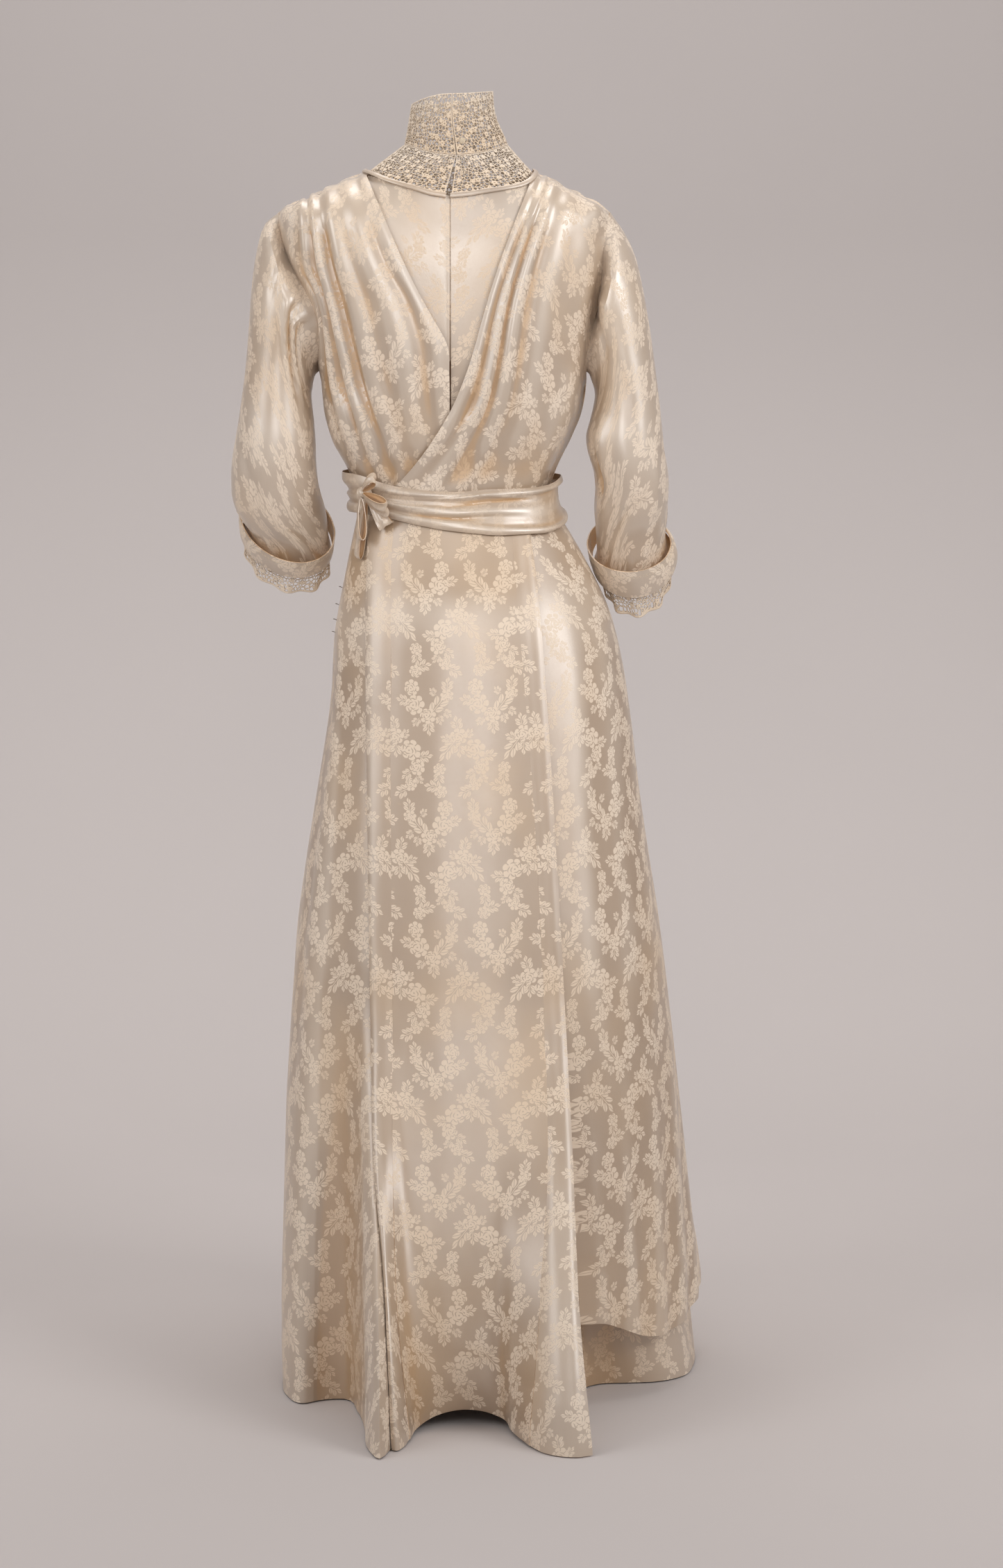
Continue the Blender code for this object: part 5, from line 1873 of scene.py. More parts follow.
@dataclass(frozen=True)
class KnotFrame:
    """Place and directions of the sash knot: out of the sash, along it to the right, and up."""

    place: Array
    out: Array
    across: Array
    up: Array

    @classmethod
    def at(cls, x: float, height: float) -> "KnotFrame":
        """The frame on the sash at a point of the back.

        Args:
            x: Place across from the axis.
            height: Height above the floor.

        Returns:
            The frame.
        """
        angle = TORSO.back_angle(x, height)
        out = TORSO.outward(angle, WAIST_HEIGHT)
        out[2] = 0.0
        out /= np.linalg.norm(out)
        up = np.array([0.0, 0.0, 1.0])
        return cls(TORSO.point(angle, height) + out * KNOT_LAYER, out, np.cross(up, -out), up)


@dataclass(kw_only=True)
class SashLoop(ClothPiece):
    """One ribbon loop of the knot: a soft teardrop band folded back on itself."""

    loop: int
    frame: KnotFrame
    twist: float
    around: int = 16

    def grid(self) -> Array:
        """Rings of the band from one edge to the other."""
        size = {name: LOOPS.at(name, self.loop) for name in LOOPS.values}
        frame = self.frame
        sine, cosine = polar(size["direction"])
        along = frame.across * cosine + frame.up * sine
        sine, cosine = polar(self.twist)
        flat = np.cross(frame.out, along)
        wide, out = flat * cosine + frame.out * sine, frame.out * cosine - flat * sine
        middle = frame.place + frame.out * size["stand_off"]

        def point(share: float, turn: float) -> Array:
            """A point of the ribbon, a share of its width from its middle and a turn round the loop."""
            rise, fall = polar(turn)
            reach = 0.5 - 0.5 * fall
            away = 1.25 * size["bulge"] * rise * mix(0.5, 1.0, reach) + 1.5 * math.cos(share * 9.0) * reach
            width = size["width"] * mix(0.3, 1.0, reach**0.7)
            spot = middle + along * (size["start"] + size["length"] * reach)
            return spot + out * away + wide * (share * width)

        return lofted((-0.5, -0.27, 0.0, 0.27, 0.5), turns(self.around), point)


@dataclass(kw_only=True)
class SashKnot(ClothPiece):
    """The small knot that the loops come out of: one band wrapped round them."""

    frame: KnotFrame
    half_width: float = 6.4
    half_height: float = 6.9
    half_depth: float = 9.8
    around: int = 28

    def grid(self) -> Array:
        """Rings of the wrapped band from top to bottom, pulled in and creased at both ends."""
        middle = self.frame.place + self.frame.out * (self.half_depth - 2.9)

        def point(level: float, degrees: float) -> Array:
            """A point of the band, a level up the knot and a turn round it."""
            turn = math.radians(degrees)
            ring = math.sqrt(1 - level * level)
            size = ring * (1 + 0.07 * math.sin(turn * 7 + level * 3) * ring + 0.05 * math.sin(turn * 3 + 1))
            across = self.frame.across * math.cos(turn) * self.half_width * size
            out = self.frame.out * math.sin(turn) * self.half_depth * size
            return middle + across + out + self.frame.up * level * self.half_height

        levels = (0.97, 0.86, 0.6, 0.25, -0.15, -0.5, -0.8, -0.93, -0.98)
        return lofted(levels, turns(self.around), point)


class Wiring:
    """Adds shader nodes to one tree and joins them."""

    def __init__(self, tree: bpy.types.NodeTree) -> None:
        """Keep the tree that the nodes go into."""
        self.tree = tree

    def join(self, value: object, socket: Socket) -> None:
        """Feed a socket.

        Args:
            value: Another socket, or a number or colour.
            socket: The socket to feed.
        """
        if isinstance(value, Socket):
            self.tree.links.new(value, socket)
        else:
            socket.default_value = value

    def add(self, kind: str, values: dict | None = None, **settings: object) -> bpy.types.Node:
        """Add one node.

        Args:
            kind: Blender's name for the kind of node.
            values: What goes into its sockets.
            settings: Its own settings.

        Returns:
            The node.
        """
        node = self.tree.nodes.new(kind)
        for name, setting in settings.items():
            setattr(node, name, setting)
        self.feed(node, values or {})
        return node

    def feed(self, node: bpy.types.Node, values: dict) -> None:
        """Feed several of a node's sockets, found by their names."""
        for name, value in values.items():
            self.join(value, node.inputs[name])

    def math(self, operation: str, *values: object) -> Socket:
        """Work out one number from others."""
        return self.add("ShaderNodeMath", dict(enumerate(values)), operation=operation).outputs[0]

    def vector(self, operation: str, *values: object) -> Socket:
        """Work out a vector, or its length, from others."""
        node = self.add("ShaderNodeVectorMath", dict(enumerate(values)), operation=operation)
        return node.outputs["Value" if operation == "LENGTH" else "Vector"]

    def blend(self, share: object, a: object, b: object, kind: str = "RGBA") -> Socket:
        """Mix two values of one kind.

        Args:
            share: Share of the second.
            a: The first.
            b: The second.
            kind: FLOAT, VECTOR or RGBA.

        Returns:
            The mixed value.
        """
        first, out = {"FLOAT": (2, 0), "VECTOR": (4, 1), "RGBA": (6, 2)}[kind]
        node = self.add("ShaderNodeMix", {0: share, first: a, first + 1: b}, data_type=kind)
        return node.outputs[out]

    def band(self, value: object, *ends: float) -> Socket:
        """A soft step as a value goes between two ends: from 0 to 1, or from a third end to a fourth."""
        values = dict(enumerate((value, *ends) if len(ends) == 4 else (value, *ends, 0.0, 1.0)))
        return self.add("ShaderNodeMapRange", values, interpolation_type="SMOOTHSTEP").outputs[0]

    def noise(self, place: object, scale: float, detail: float = 2.0) -> Socket:
        """Cloudy values from 0 to 1."""
        values = {"Vector": place, "Scale": scale, "Detail": detail}
        return self.add("ShaderNodeTexNoise", values).outputs["Fac"]

    def stretched(self, place: object, scale: tuple, turn: float = 0.0) -> Socket:
        """A place scaled by its own factor each way, and turned."""
        values = {"Vector": place, "Scale": scale, "Rotation": (0.0, 0.0, turn)}
        return self.add("ShaderNodeMapping", values).outputs["Vector"]

    def within(self, place: object, chart: tuple) -> Socket:
        """A place in the frame of an element.

        Args:
            place: The place.
            chart: The element's centre across and down, its turn in degrees and its two half sizes.

        Returns:
            The place, with the element's edge at a distance of 1.
        """
        x, y, turn, along, wide = chart
        values = {"Vector": place, "Location": (x, y, 0.0), "Scale": (along, wide, 1.0)}
        values["Rotation"] = (0.0, 0.0, math.radians(turn))
        return self.add("ShaderNodeMapping", values, vector_type="TEXTURE").outputs[0]

    def parts(self, place: object) -> object:
        """The parts of a place: across, down and out."""
        return self.add("ShaderNodeSeparateXYZ", {0: place}).outputs

    def cloth(self) -> Socket:
        """The place on the cloth, in metres of real length."""
        return self.add("ShaderNodeUVMap", uv_map="cloth").outputs[0]

    def read(self, title: str) -> Socket:
        """A value that the mesh holds at each point."""
        return self.add("ShaderNodeAttribute", attribute_name=title).outputs["Fac"]

    def bump(self, height: object, strength: float) -> Socket:
        """The bent normal of fine ridges a third of a millimetre high."""
        values = {"Strength": strength, "Distance": 0.0003, "Height": height}
        return self.add("ShaderNodeBump", values).outputs[0]

    def object_noise(self, scale: float, detail: float) -> Socket:
        """Cloudy values over the object's own space."""
        return self.noise(self.add("ShaderNodeTexCoord").outputs["Object"], scale, detail)


class Effect(Wiring):
    """A shader effect as a node group with named inputs and outputs, built once."""

    title = "effect"
    inputs: dict = {}
    outputs: dict = {}

    @classmethod
    def group(cls) -> bpy.types.NodeTree:
        """The effect's node group."""
        found = bpy.data.node_groups.get(cls.title)
        if found:
            return found
        tree = bpy.data.node_groups.new(cls.title, "ShaderNodeTree")
        for name, (kind, value) in cls.inputs.items():
            socket = tree.interface.new_socket(name=name, in_out="INPUT", socket_type=f"NodeSocket{kind}")
            if value is not None:
                socket.default_value = value
        for name, kind in cls.outputs.items():
            tree.interface.new_socket(name=name, in_out="OUTPUT", socket_type=f"NodeSocket{kind}")
        effect = cls(tree)
        given = effect.add("NodeGroupInput").outputs
        effect.add("NodeGroupOutput", effect.wire(given))
        return tree

    def wire(self, given: object) -> dict:
        """Fill the group from its own inputs, and give what feeds each output."""
        raise NotImplementedError

    @classmethod
    def place(cls, wiring: Wiring, values: dict) -> object:
        """Put the effect in a material with its own values, and give its outputs."""
        return wiring.add("ShaderNodeGroup", values, node_tree=cls.group()).outputs


# The woven figure: two garlands of roses, in one half of the repeat. Places are millimetres across
# from the line that the halves mirror about and down from the first rose. A rose has its place and
# its radius, and a spray its foot, its direction in degrees from across towards up, and its length.
FIGURE_WIDTH, FIGURE_DROP, FIGURE_TOP = 71.5, 134.2, -13.6
ROSES = (
    (-1.4, 0.0, 9.1), (16.1, 14.8, 11.3), (23.2, 34.1, 8.6), (15.4, 53.3, 6.9), (-23.4, 36.3, 6.7),
    (35.4, 111.2, 8.7), (50.2, 98.7, 10.9), (53.6, 79.5, 8.6), (49.0, 61.3, 6.9), (13.8, 88.5, 6.9),
)
# The leaves on one side of a sprig: centre, turn and half sizes, as shares of half its length.
LEAVES = ((0.66, 0.0, 0, 0.40, 0.30), (0.14, 0.52, 50, 0.50, 0.27), (-0.46, 0.50, 56, 0.48, 0.27))
# The arcs that part a rose's inner petals: radius, swing, petals, turn, breaks and width.
ROSE_ARCS = ((0.56, 0.12, 5, 1.1, 2.5, 0.075), (0.30, 0.10, 3, 0.2, 1.5, 0.07))
SPRAYS = (
    (-2.3, -7.9, 102, 13.9), (7.0, 0.5, 48, 10.0), (26.1, 22.7, 5, 13.7), (15.5, 39.0, 215, 12.0),
    (22.2, 44.0, -52, 10.0), (11.0, 58.5, 205, 15.0), (-0.7, 8.5, 266, 14.0), (-6.5, 6.0, 230, 25.0),
    (-10.5, 4.5, 155, 11.0), (-23.8, 41.0, 266, 13.0), (35.0, 118.0, 268, 14.0), (45.6, 56.8, 165, 14.0),
    (58.1, 94.9, 10, 13.0), (30.5, 107.0, 130, 25.0), (13.8, 83.5, 95, 14.0), (26.3, 87.3, 42, 9.0),
    (17.3, 106.0, 215, 10.0), (22.8, 111.0, 262, 10.0), (45.9, 114.0, -50, 10.0),
)


class WovenFigure(Effect):
    """The rose garlands of the damask, as a mask over real lengths of cloth."""

    title = "woven_figure"
    inputs = {"Cloth": ("Vector", None)}
    outputs = {"Figure": "Float"}

    def folded(self, cloth: object) -> object:
        """Fold the cloth onto one half of the repeat.

        Args:
            cloth: The place on the cloth, in metres.

        Returns:
            The place in the half repeat, in millimetres, mirrored in every other half.
        """
        parts = self.parts(cloth)
        across = self.math("MULTIPLY", parts[0], 1 / MM)
        down = self.math("MULTIPLY", parts[1], -1 / MM)
        row = self.math("DIVIDE", self.math("SUBTRACT", down, FIGURE_TOP), FIGURE_DROP)
        row = self.math("FLOOR", row)
        odd = self.math("FLOORED_MODULO", row, 2.0)
        mirror = self.math("MULTIPLY_ADD", odd, -2.0, 1.0)
        across = self.math("MULTIPLY", across, mirror)
        down = self.math("SUBTRACT", down, self.math("MULTIPLY", row, FIGURE_DROP))
        return self.add("ShaderNodeCombineXYZ", {0: across, 1: down}).outputs[0]

    def nearest(self, place: object, charts: list) -> tuple[object, object]:
        """Coordinates in the frame of the nearest of several elements.

        Args:
            place: The place in the half repeat.
            charts: Each element's centre, turn and half sizes.

        Returns:
            The coordinates in the nearest element's own frame, and the distance in it.
        """
        best, least = None, None
        for chart in charts:
            high = (chart[0] + 0.5 * FIGURE_WIDTH, 900.0, 1.0)
            low = (chart[0] - 0.5 * FIGURE_WIDTH, -900.0, -1.0)
            wrapped = self.vector("WRAP", place, high, low)
            local = self.within(wrapped, chart)
            away = self.vector("LENGTH", local)
            if best is None:
                best, least = local, away
                continue
            closer = self.math("LESS_THAN", away, least)
            best = self.blend(closer, best, local, "VECTOR")
            least = self.math("MINIMUM", away, least)
        return best, least

    def rose(self, place: object, away: object) -> object:
        """A full rose seen a little from one side: cupped petals round a heart off its middle.

        Args:
            place: The place in the rose's own frame.
            away: Its distance from the rose's middle.

        Returns:
            How far inside a petal the place lies.
        """

        def turn_of(spot: object) -> object:
            """The angle of a spot round the rose."""
            parts = self.parts(spot)
            return self.math("ARCTAN2", parts[1], parts[0])

        def lobes(turn: object, count: float, shift: float) -> object:
            """Rounded lobes by angle, from 0 between them to 1."""
            wave = self.math("COSINE", self.math("MULTIPLY_ADD", turn, count / 2, shift))
            return self.math("ABSOLUTE", wave)

        outer = lobes(turn_of(place), 7, 0.4)
        edge = self.math("MULTIPLY_ADD", self.math("POWER", outer, 0.45), 0.32, 0.70)
        inside = self.math("SUBTRACT", edge, away)
        notch = self.math("SUBTRACT", self.math("MULTIPLY", outer, away), 0.15)
        near_heart = self.math("SUBTRACT", 0.58, away)
        petals = self.math("MINIMUM", inside, self.math("MAXIMUM", notch, near_heart))
        heart = self.vector("ADD", place, (0.12, -0.15, 0.0))
        apart = self.vector("LENGTH", heart)
        turn = turn_of(heart)
        for radius, swing, count, shift, gap, width in ROSE_ARCS:
            arc = lobes(turn, count, shift)
            ring = self.math("MULTIPLY_ADD", arc, swing, radius)
            line = self.math("ABSOLUTE", self.math("SUBTRACT", apart, ring))
            open_arc = self.math("SUBTRACT", lobes(turn, 2 * gap, shift + 0.9), 0.28)
            line = self.math("SUBTRACT", line, self.math("MULTIPLY", open_arc, width))
            petals = self.math("MINIMUM", petals, line)
        return self.math("MINIMUM", petals, self.math("SUBTRACT", apart, 0.07))

    def spray(self, place: object) -> object:
        """A sprig: a stem, a pointed end leaf and two staggered pairs with their ribs.

        Args:
            place: The place in the sprig's own frame.

        Returns:
            How far inside a leaf or the stem the place lies.
        """
        parts = self.parts(place)
        side = self.math("SIGN", parts[1])
        along = self.math("MULTIPLY_ADD", side, 0.09, parts[0])
        wide = self.math("ABSOLUTE", parts[1])
        mirrored = self.add("ShaderNodeCombineXYZ", {0: along, 1: wide}).outputs[0]
        best = None
        for chart in LEAVES:
            leaf = self.parts(self.within(mirrored, chart))
            lens = self.math("MULTIPLY_ADD", self.math("MULTIPLY", leaf[0], leaf[0]), -1.0, 1.0)
            rib = self.math("ABSOLUTE", leaf[1])
            inside = self.math("MULTIPLY", self.math("SUBTRACT", lens, rib), 0.3)
            beside = self.math("MULTIPLY", self.math("SUBTRACT", rib, 0.1), 0.6)
            inside = self.math("MINIMUM", inside, beside)
            best = inside if best is None else self.math("MAXIMUM", best, inside)
        stem = self.math("SUBTRACT", 0.05, wide)
        stem = self.math("MINIMUM", stem, self.math("SUBTRACT", 0.45, parts[0]))
        stem = self.math("MINIMUM", stem, self.math("ADD", parts[0], 1.1))
        return self.math("MAXIMUM", best, stem)

    def wire(self, given: object) -> dict:
        """The nearest rose and the nearest sprig, drawn together."""
        place = self.folded(given["Cloth"])
        roses = [(x, y, 40.0 * k, 1.06 * size, size) for k, (x, y, size) in enumerate(ROSES)]
        sprays = []
        for x, y, turn, length in SPRAYS:
            rise, run = polar(turn)
            sprays.append((x + 0.5 * length * run, y - 0.5 * length * rise, -turn, length))
        bottom = FIGURE_TOP + FIGURE_DROP
        spilled = [(-x, y + FIGURE_DROP, 180 - t, s) for x, y, t, s in sprays if y - 0.5 * s < FIGURE_TOP]
        spilled += [(-x, y - FIGURE_DROP, 180 - t, s) for x, y, t, s in sprays if y + 0.5 * s > bottom]
        charts = [(x, y, t, 0.56 * s, 0.54 * min(s, 16.0)) for x, y, t, s in sprays + spilled]
        rose = self.rose(*self.nearest(place, roses))
        sprig, _ = self.nearest(place, charts)
        drawn = self.math("MAXIMUM", rose, self.spray(sprig))
        return {"Figure": self.band(drawn, -0.02, 0.03)}


class SatinThread(Effect):
    """Fine threads and slubs of woven silk, and the soft streaks that they give its shine."""

    title = "satin_thread"
    inputs = {"Cloth": ("Vector", None), "Slub": ("Float", 0.5)}
    outputs = {"Height": "Float", "Streak": "Float"}

    def wire(self, given: object) -> dict:
        """Thread ridges both ways, with uneven slubs along the weft."""

        def ridges(across: float, down: float, detail: float) -> Socket:
            """Cloudy ridges, so many to a metre each way."""
            return self.noise(self.stretched(given["Cloth"], (across, down, 1.0)), 1.0, detail)

        weft, warp, slub = ridges(90.0, 2600.0, 2.0), ridges(2600.0, 70.0, 2.0), ridges(14.0, 420.0, 3.0)
        height = self.math("ADD", weft, warp)
        height = self.math("MULTIPLY_ADD", self.math("MULTIPLY", slub, given["Slub"]), 0.6, height)
        return {"Height": height, "Streak": ridges(60.0, 6.0, 3.0)}


class FoldShade(Effect):
    """Painted golden shade gathered in the folds, and a lighter tone along their crests."""

    title = "fold_shade"
    inputs = {
        "Color": ("Color", None), "Shade": ("Color", (0.45, 0.24, 0.09, 1.0)), "Hollow": ("Float", 0.0),
        "Depth": ("Float", 0.5),
    }
    outputs = {"Color": "Color"}

    def wire(self, given: object) -> dict:
        """Mix in painted shade where the cloth lies deep, and lift the colour where it stands proud."""
        deep = self.band(given["Hollow"], 0.3, 2.4)
        deep = self.math("MULTIPLY", deep, given["Depth"])
        shaded = self.blend(deep, given["Color"], given["Shade"])
        proud = self.band(given["Hollow"], -0.25, -1.6, 0.0, 0.16)
        return {"Color": self.blend(proud, shaded, (0.95, 0.89, 0.80, 1.0))}


class AgeTone(Effect):
    """The uneven yellowing of old cloth, in wide clouds and small faint spots."""

    title = "age_tone"
    inputs = {"Color": ("Color", None), "Place": ("Vector", None), "Strength": ("Float", 0.3)}
    outputs = {"Color": "Color"}

    def wire(self, given: object) -> dict:
        """Warm clouds a hand wide, with a few small spots."""
        cloud = self.band(self.noise(given["Place"], 6.0, 3.0), 0.42, 0.7)
        spot = self.band(self.noise(given["Place"], 95.0, 2.0), 0.68, 0.8, 0.0, 0.5)
        share = self.math("MULTIPLY", self.math("MAXIMUM", cloud, spot), given["Strength"])
        return {"Color": self.blend(share, given["Color"], (0.60, 0.40, 0.21, 1.0))}


def dimmed(colour: tuple, share: float) -> tuple:
    """A colour at a share of its brightness."""
    return *(share * part for part in colour[:3]), 1.0


@dataclass(frozen=True)
class Finish:
    """A finish of the gown or of the studio; each kind dresses its shader in its own way."""

    title: str

    def material(self) -> bpy.types.Material:
        """The finish as a material, made once."""
        made = bpy.data.materials.get(self.title)
        if made is None:
            made = bpy.data.materials.new(self.title)
            made.use_nodes = True
            self.dress(Wiring(made.node_tree), made.node_tree.nodes["Principled BSDF"])
        return made

    def dress(self, wiring: Wiring, shader: bpy.types.Node) -> None:
        """Wire the finish into the material's Principled shader."""
        raise NotImplementedError


@dataclass(frozen=True)
class FiguredSilk(Finish):
    """Silk damask: a shining ground and duller flowers, so that either may look the lighter."""

    ground: tuple = (0.43, 0.325, 0.235, 1.0)
    flower: tuple = (0.70, 0.575, 0.455, 1.0)
    # The golden shade painted into the folds.
    shade: tuple = (0.52, 0.30, 0.12, 1.0)
    # The cloth's wrong side, coloured a warm orange that is painted shade for the dim inside of the gown.
    wrong_side_shade: tuple = (0.76, 0.49, 0.26, 1.0)
    ground_roughness: float = 0.38
    flower_roughness: float = 0.66
    ground_shine: float = 0.72
    figured: float = 1.0
    # How strongly the golden shade is painted into the folds.
    fold_shade_strength: float = 0.55

    def dress(self, wiring: Wiring, shader: bpy.types.Node) -> None:
        """The woven figure, threads, painted fold shade and age over real lengths of cloth."""
        cloth, hollow, reverse = wiring.cloth(), wiring.read("hollow"), wiring.read("reverse")
        woven = WovenFigure.place(wiring, {"Cloth": cloth})
        figure = wiring.math("MULTIPLY", woven["Figure"], self.figured)
        thread = SatinThread.place(wiring, {"Cloth": cloth, "Slub": 0.5})
        colour = wiring.blend(figure, self.ground, self.flower)
        # Where the wrong side shows, mix in its painted warm shade.
        colour = wiring.blend(wiring.math("MULTIPLY", reverse, 0.75), colour, self.wrong_side_shade)
        aged = AgeTone.place(wiring, {"Color": colour, "Place": cloth, "Strength": 0.28})["Color"]
        # Paint golden shade into the hollows of the folds.
        folds = {"Color": aged, "Shade": self.shade, "Hollow": hollow, "Depth": self.fold_shade_strength}
        shaded = FoldShade.place(wiring, folds)
        rough = wiring.blend(figure, self.ground_roughness, self.flower_roughness, "FLOAT")
        streak = wiring.math("MULTIPLY_ADD", thread["Streak"], 0.16, -0.08)
        wiring.feed(shader, {
            "Base Color": shaded["Color"], "Roughness": wiring.math("ADD", rough, streak),
            "Coat Weight": wiring.blend(figure, self.ground_shine, 0.04, "FLOAT"), "Coat Roughness": 0.34,
            "Coat IOR": 2.5, "Specular IOR Level": 0.6, "Sheen Weight": 0.14, "Sheen Roughness": 0.4,
            "Sheen Tint": (1.0, 0.93, 0.84, 1.0), "Normal": wiring.bump(thread["Height"], 0.22),
        })


@dataclass(frozen=True)
class LaceThread(Finish):
    """Twisted cotton thread, lighter where it stands up, with painted brown shade towards its edges beside
    the gaps.
    """

    light: tuple = (0.78, 0.67, 0.55, 1.0)
    # Painted brown shade towards the threads' edges beside the gaps.
    gap_shade: tuple = (0.24, 0.165, 0.10, 1.0)

    def dress(self, wiring: Wiring, shader: bpy.types.Node) -> None:
        """Colour by how far inside the thread a point lies, with painted shade towards its edges, and a
        fine twist.
        """
        cloth, hollow = wiring.cloth(), wiring.read("hollow")
        colour = wiring.blend(wiring.band(hollow, 0.15, 0.75), self.light, self.gap_shade)
        aged = AgeTone.place(wiring, {"Color": colour, "Place": cloth, "Strength": 0.4})
        twist = wiring.noise(wiring.stretched(cloth, (1700.0, 900.0, 1.0), 0.7), 1.0)
        wiring.feed(shader, {
            "Base Color": aged["Color"], "Roughness": wiring.band(twist, 0.2, 0.8, 0.74, 0.95),
            "Sheen Weight": 0.25, "Normal": wiring.bump(twist, 0.5),
        })


@dataclass(frozen=True)
class SewingThread(Finish):
    """Silk sewing thread with a little twist."""

    colour: tuple = (0.74, 0.62, 0.47, 1.0)
    roughness: float = 0.5

    def dress(self, wiring: Wiring, shader: bpy.types.Node) -> None:
        """A twisted tone along the thread."""
        twist = wiring.object_noise(2400.0, 1.0)
        colour = wiring.blend(wiring.band(twist, 0.3, 0.7), dimmed(self.colour, 0.72), self.colour)
        rough = wiring.band(twist, 0.2, 0.8, self.roughness, self.roughness + 0.2)
        wiring.feed(shader, {"Base Color": colour, "Roughness": rough})


@dataclass(frozen=True)
class DullMetal(Finish):
    """Nickelled brass hooks, grey and worn to brown in places."""

    bright: tuple = (0.46, 0.45, 0.43, 1.0)
    worn: tuple = (0.20, 0.15, 0.10, 1.0)

    def dress(self, wiring: Wiring, shader: bpy.types.Node) -> None:
        """Tarnish in small clouds."""
        tarnish = wiring.band(wiring.object_noise(700.0, 3.0), 0.35, 0.7)
        wiring.feed(shader, {
            "Base Color": wiring.blend(tarnish, self.bright, self.worn),
            "Roughness": wiring.band(tarnish, 0.0, 1.0, 0.3, 0.6), "Metallic": 0.9,
        })


@dataclass(frozen=True)
class StudioPaper(Finish):
    """Matt seamless paper, which can be looked through from behind."""

    colour: tuple = (0.56, 0.52, 0.51, 1.0)

    def dress(self, wiring: Wiring, shader: bpy.types.Node) -> None:
        """A plain tone with a very faint mottle."""
        mottle = wiring.object_noise(3.0, 2.0)
        colour = wiring.blend(mottle, dimmed(self.colour, 0.97), self.colour)
        behind = wiring.add("ShaderNodeNewGeometry").outputs["Backfacing"]
        shown = wiring.math("SUBTRACT", 1.0, behind)
        wiring.feed(shader, {"Base Color": colour, "Roughness": 0.9, "Alpha": shown})


@dataclass(frozen=True)
class Rod:
    """A round thread or wire along a line of points."""

    points: Array
    radius: float
    sides: int = 6

    def add_to(self, made: Draft) -> None:
        """Add the rod with rounded ends to a mesh.

        Args:
            made: The mesh under way.
        """
        points = np.array(self.points, float)
        runs = np.gradient(points, axis=0)
        runs /= np.maximum(np.linalg.norm(runs, axis=1, keepdims=True), 1e-9)
        side = np.cross(runs[0], (0.3, 0.2, 0.9))
        rings = []
        ends = [(points[0] - runs[0] * self.radius * 0.6, 0.45), *[(p, 1.0) for p in points]]
        ends.append((points[-1] + runs[-1] * self.radius * 0.6, 0.45))
        frames = [runs[0], *runs, runs[-1]]
        for (point, grow), run in zip(ends, frames):
            side = side - run * float(side @ run)
            side /= np.linalg.norm(side)
            up = np.cross(run, side)
            ring = []
            for k in range(self.sides):
                turn = 2 * math.pi * k / self.sides
                offset = (side * math.cos(turn) + up * math.sin(turn)) * self.radius * grow
                ring.append(made.verts.new(placed(point + offset)[0]))
            rings.append(ring)
        for a, b in zip(rings, rings[1:]):
            for k in range(self.sides):
                made.faces.new([a[k], a[(k + 1) % self.sides], b[(k + 1) % self.sides], b[k]])
        made.faces.new(rings[0][::-1])
        made.faces.new(rings[-1])


def sew(name: str, rods: list, finish: Finish, crease: float = 50.0) -> None:
    """Join rods as one piece that rides with the gown.

    Args:
        name: The piece's name.
        rods: Its wires or threads.
        finish: Its finish.
        crease: The angle above which its edges stay sharp.
    """
    made = bmesh.new()
    for rod in rods:
        rod.add_to(made)
    piece = link(name, finished(name, made), finish.material(), crease)
    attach(piece, "root")
    LOG.info("%s: %d faces", name, len(piece.data.polygons))


@dataclass(kw_only=True)
class Stitching:
    """Rows of hand stitches lying on a piece, each a short thread that dips at both ends."""

    name: str
    surface: Surface
    tracks: tuple
    stand_off: float
    stitch: float = 2.4
    gap: float = 1.5
    radius: float = 0.19
    finish: Finish = SewingThread("silk_thread")

    def make(self) -> None:
        """Sew every track as one piece."""
        rods = []
        for track in self.tracks:
            track = np.array(track, float)
            share = np.linspace(0, len(track) - 1, 40 * (len(track) - 1) + 1)
            i = np.minimum(share.astype(int), len(track) - 2)
            across, down = mix(track[i], track[i + 1], (share - i)[:, None]).T
            line, normals = self.surface.spots(across, down)
            line = line + normals * self.stand_off
            run = np.concatenate([[0], np.cumsum(np.linalg.norm(np.diff(line, axis=0), axis=1))])
            for start in np.arange(0.5, run[-1] - self.stitch, self.stitch + self.gap):
                places = start + self.stitch * np.array([0.0, 0.25, 0.75, 1.0])
                rod = np.array([[np.interp(p, run, line[:, axis]) for axis in range(3)] for p in places])
                out = normals[np.searchsorted(run, places) - 1]
                rod = rod - out * np.array([[0.16], [0.0], [0.0], [0.16]])
                rods.append(Rod(rod, self.radius, 5))
        sew(self.name, rods, self.finish)


@dataclass(frozen=True)
class Finishes:
    """The finishes of the gown."""

    silk: Finish = FiguredSilk("silk_damask")
    # The skirt, sash and bias edge each paint golden shade into their folds more or less strongly.
    skirt_silk: Finish = FiguredSilk(
        "silk_skirt", ground=(0.39, 0.28, 0.19, 1.0), flower=(0.72, 0.595, 0.47, 1.0), ground_shine=0.5,
        fold_shade_strength=0.3,
    )
    sash_silk: Finish = FiguredSilk("silk_sash", figured=0.45, fold_shade_strength=0.8)
    edge_silk: Finish = FiguredSilk("silk_bias_edge", figured=0.25, fold_shade_strength=0.3)
    lace: Finish = LaceThread("cotton_lace")
    thread: Finish = SewingThread("silk_thread")
    metal: Finish = DullMetal("hook_metal")


def uneven(count: int, first: float, last: float, seed: int, spread: float = 0.3) -> Array:
    """Places from first to last, unevenly apart but the same at each run.

    Args:
        count: How many.
        first: The first place.
        last: The last place.
        seed: Picks how uneven each is.
        spread: How far each may shift, as a share of the distance between two.

    Returns:
        The places.
    """
    step = (last - first) / max(count - 1, 1)
    shifts = np.random.default_rng(seed).uniform(-spread, spread, count) * step
    return np.linspace(first, last, count) + shifts


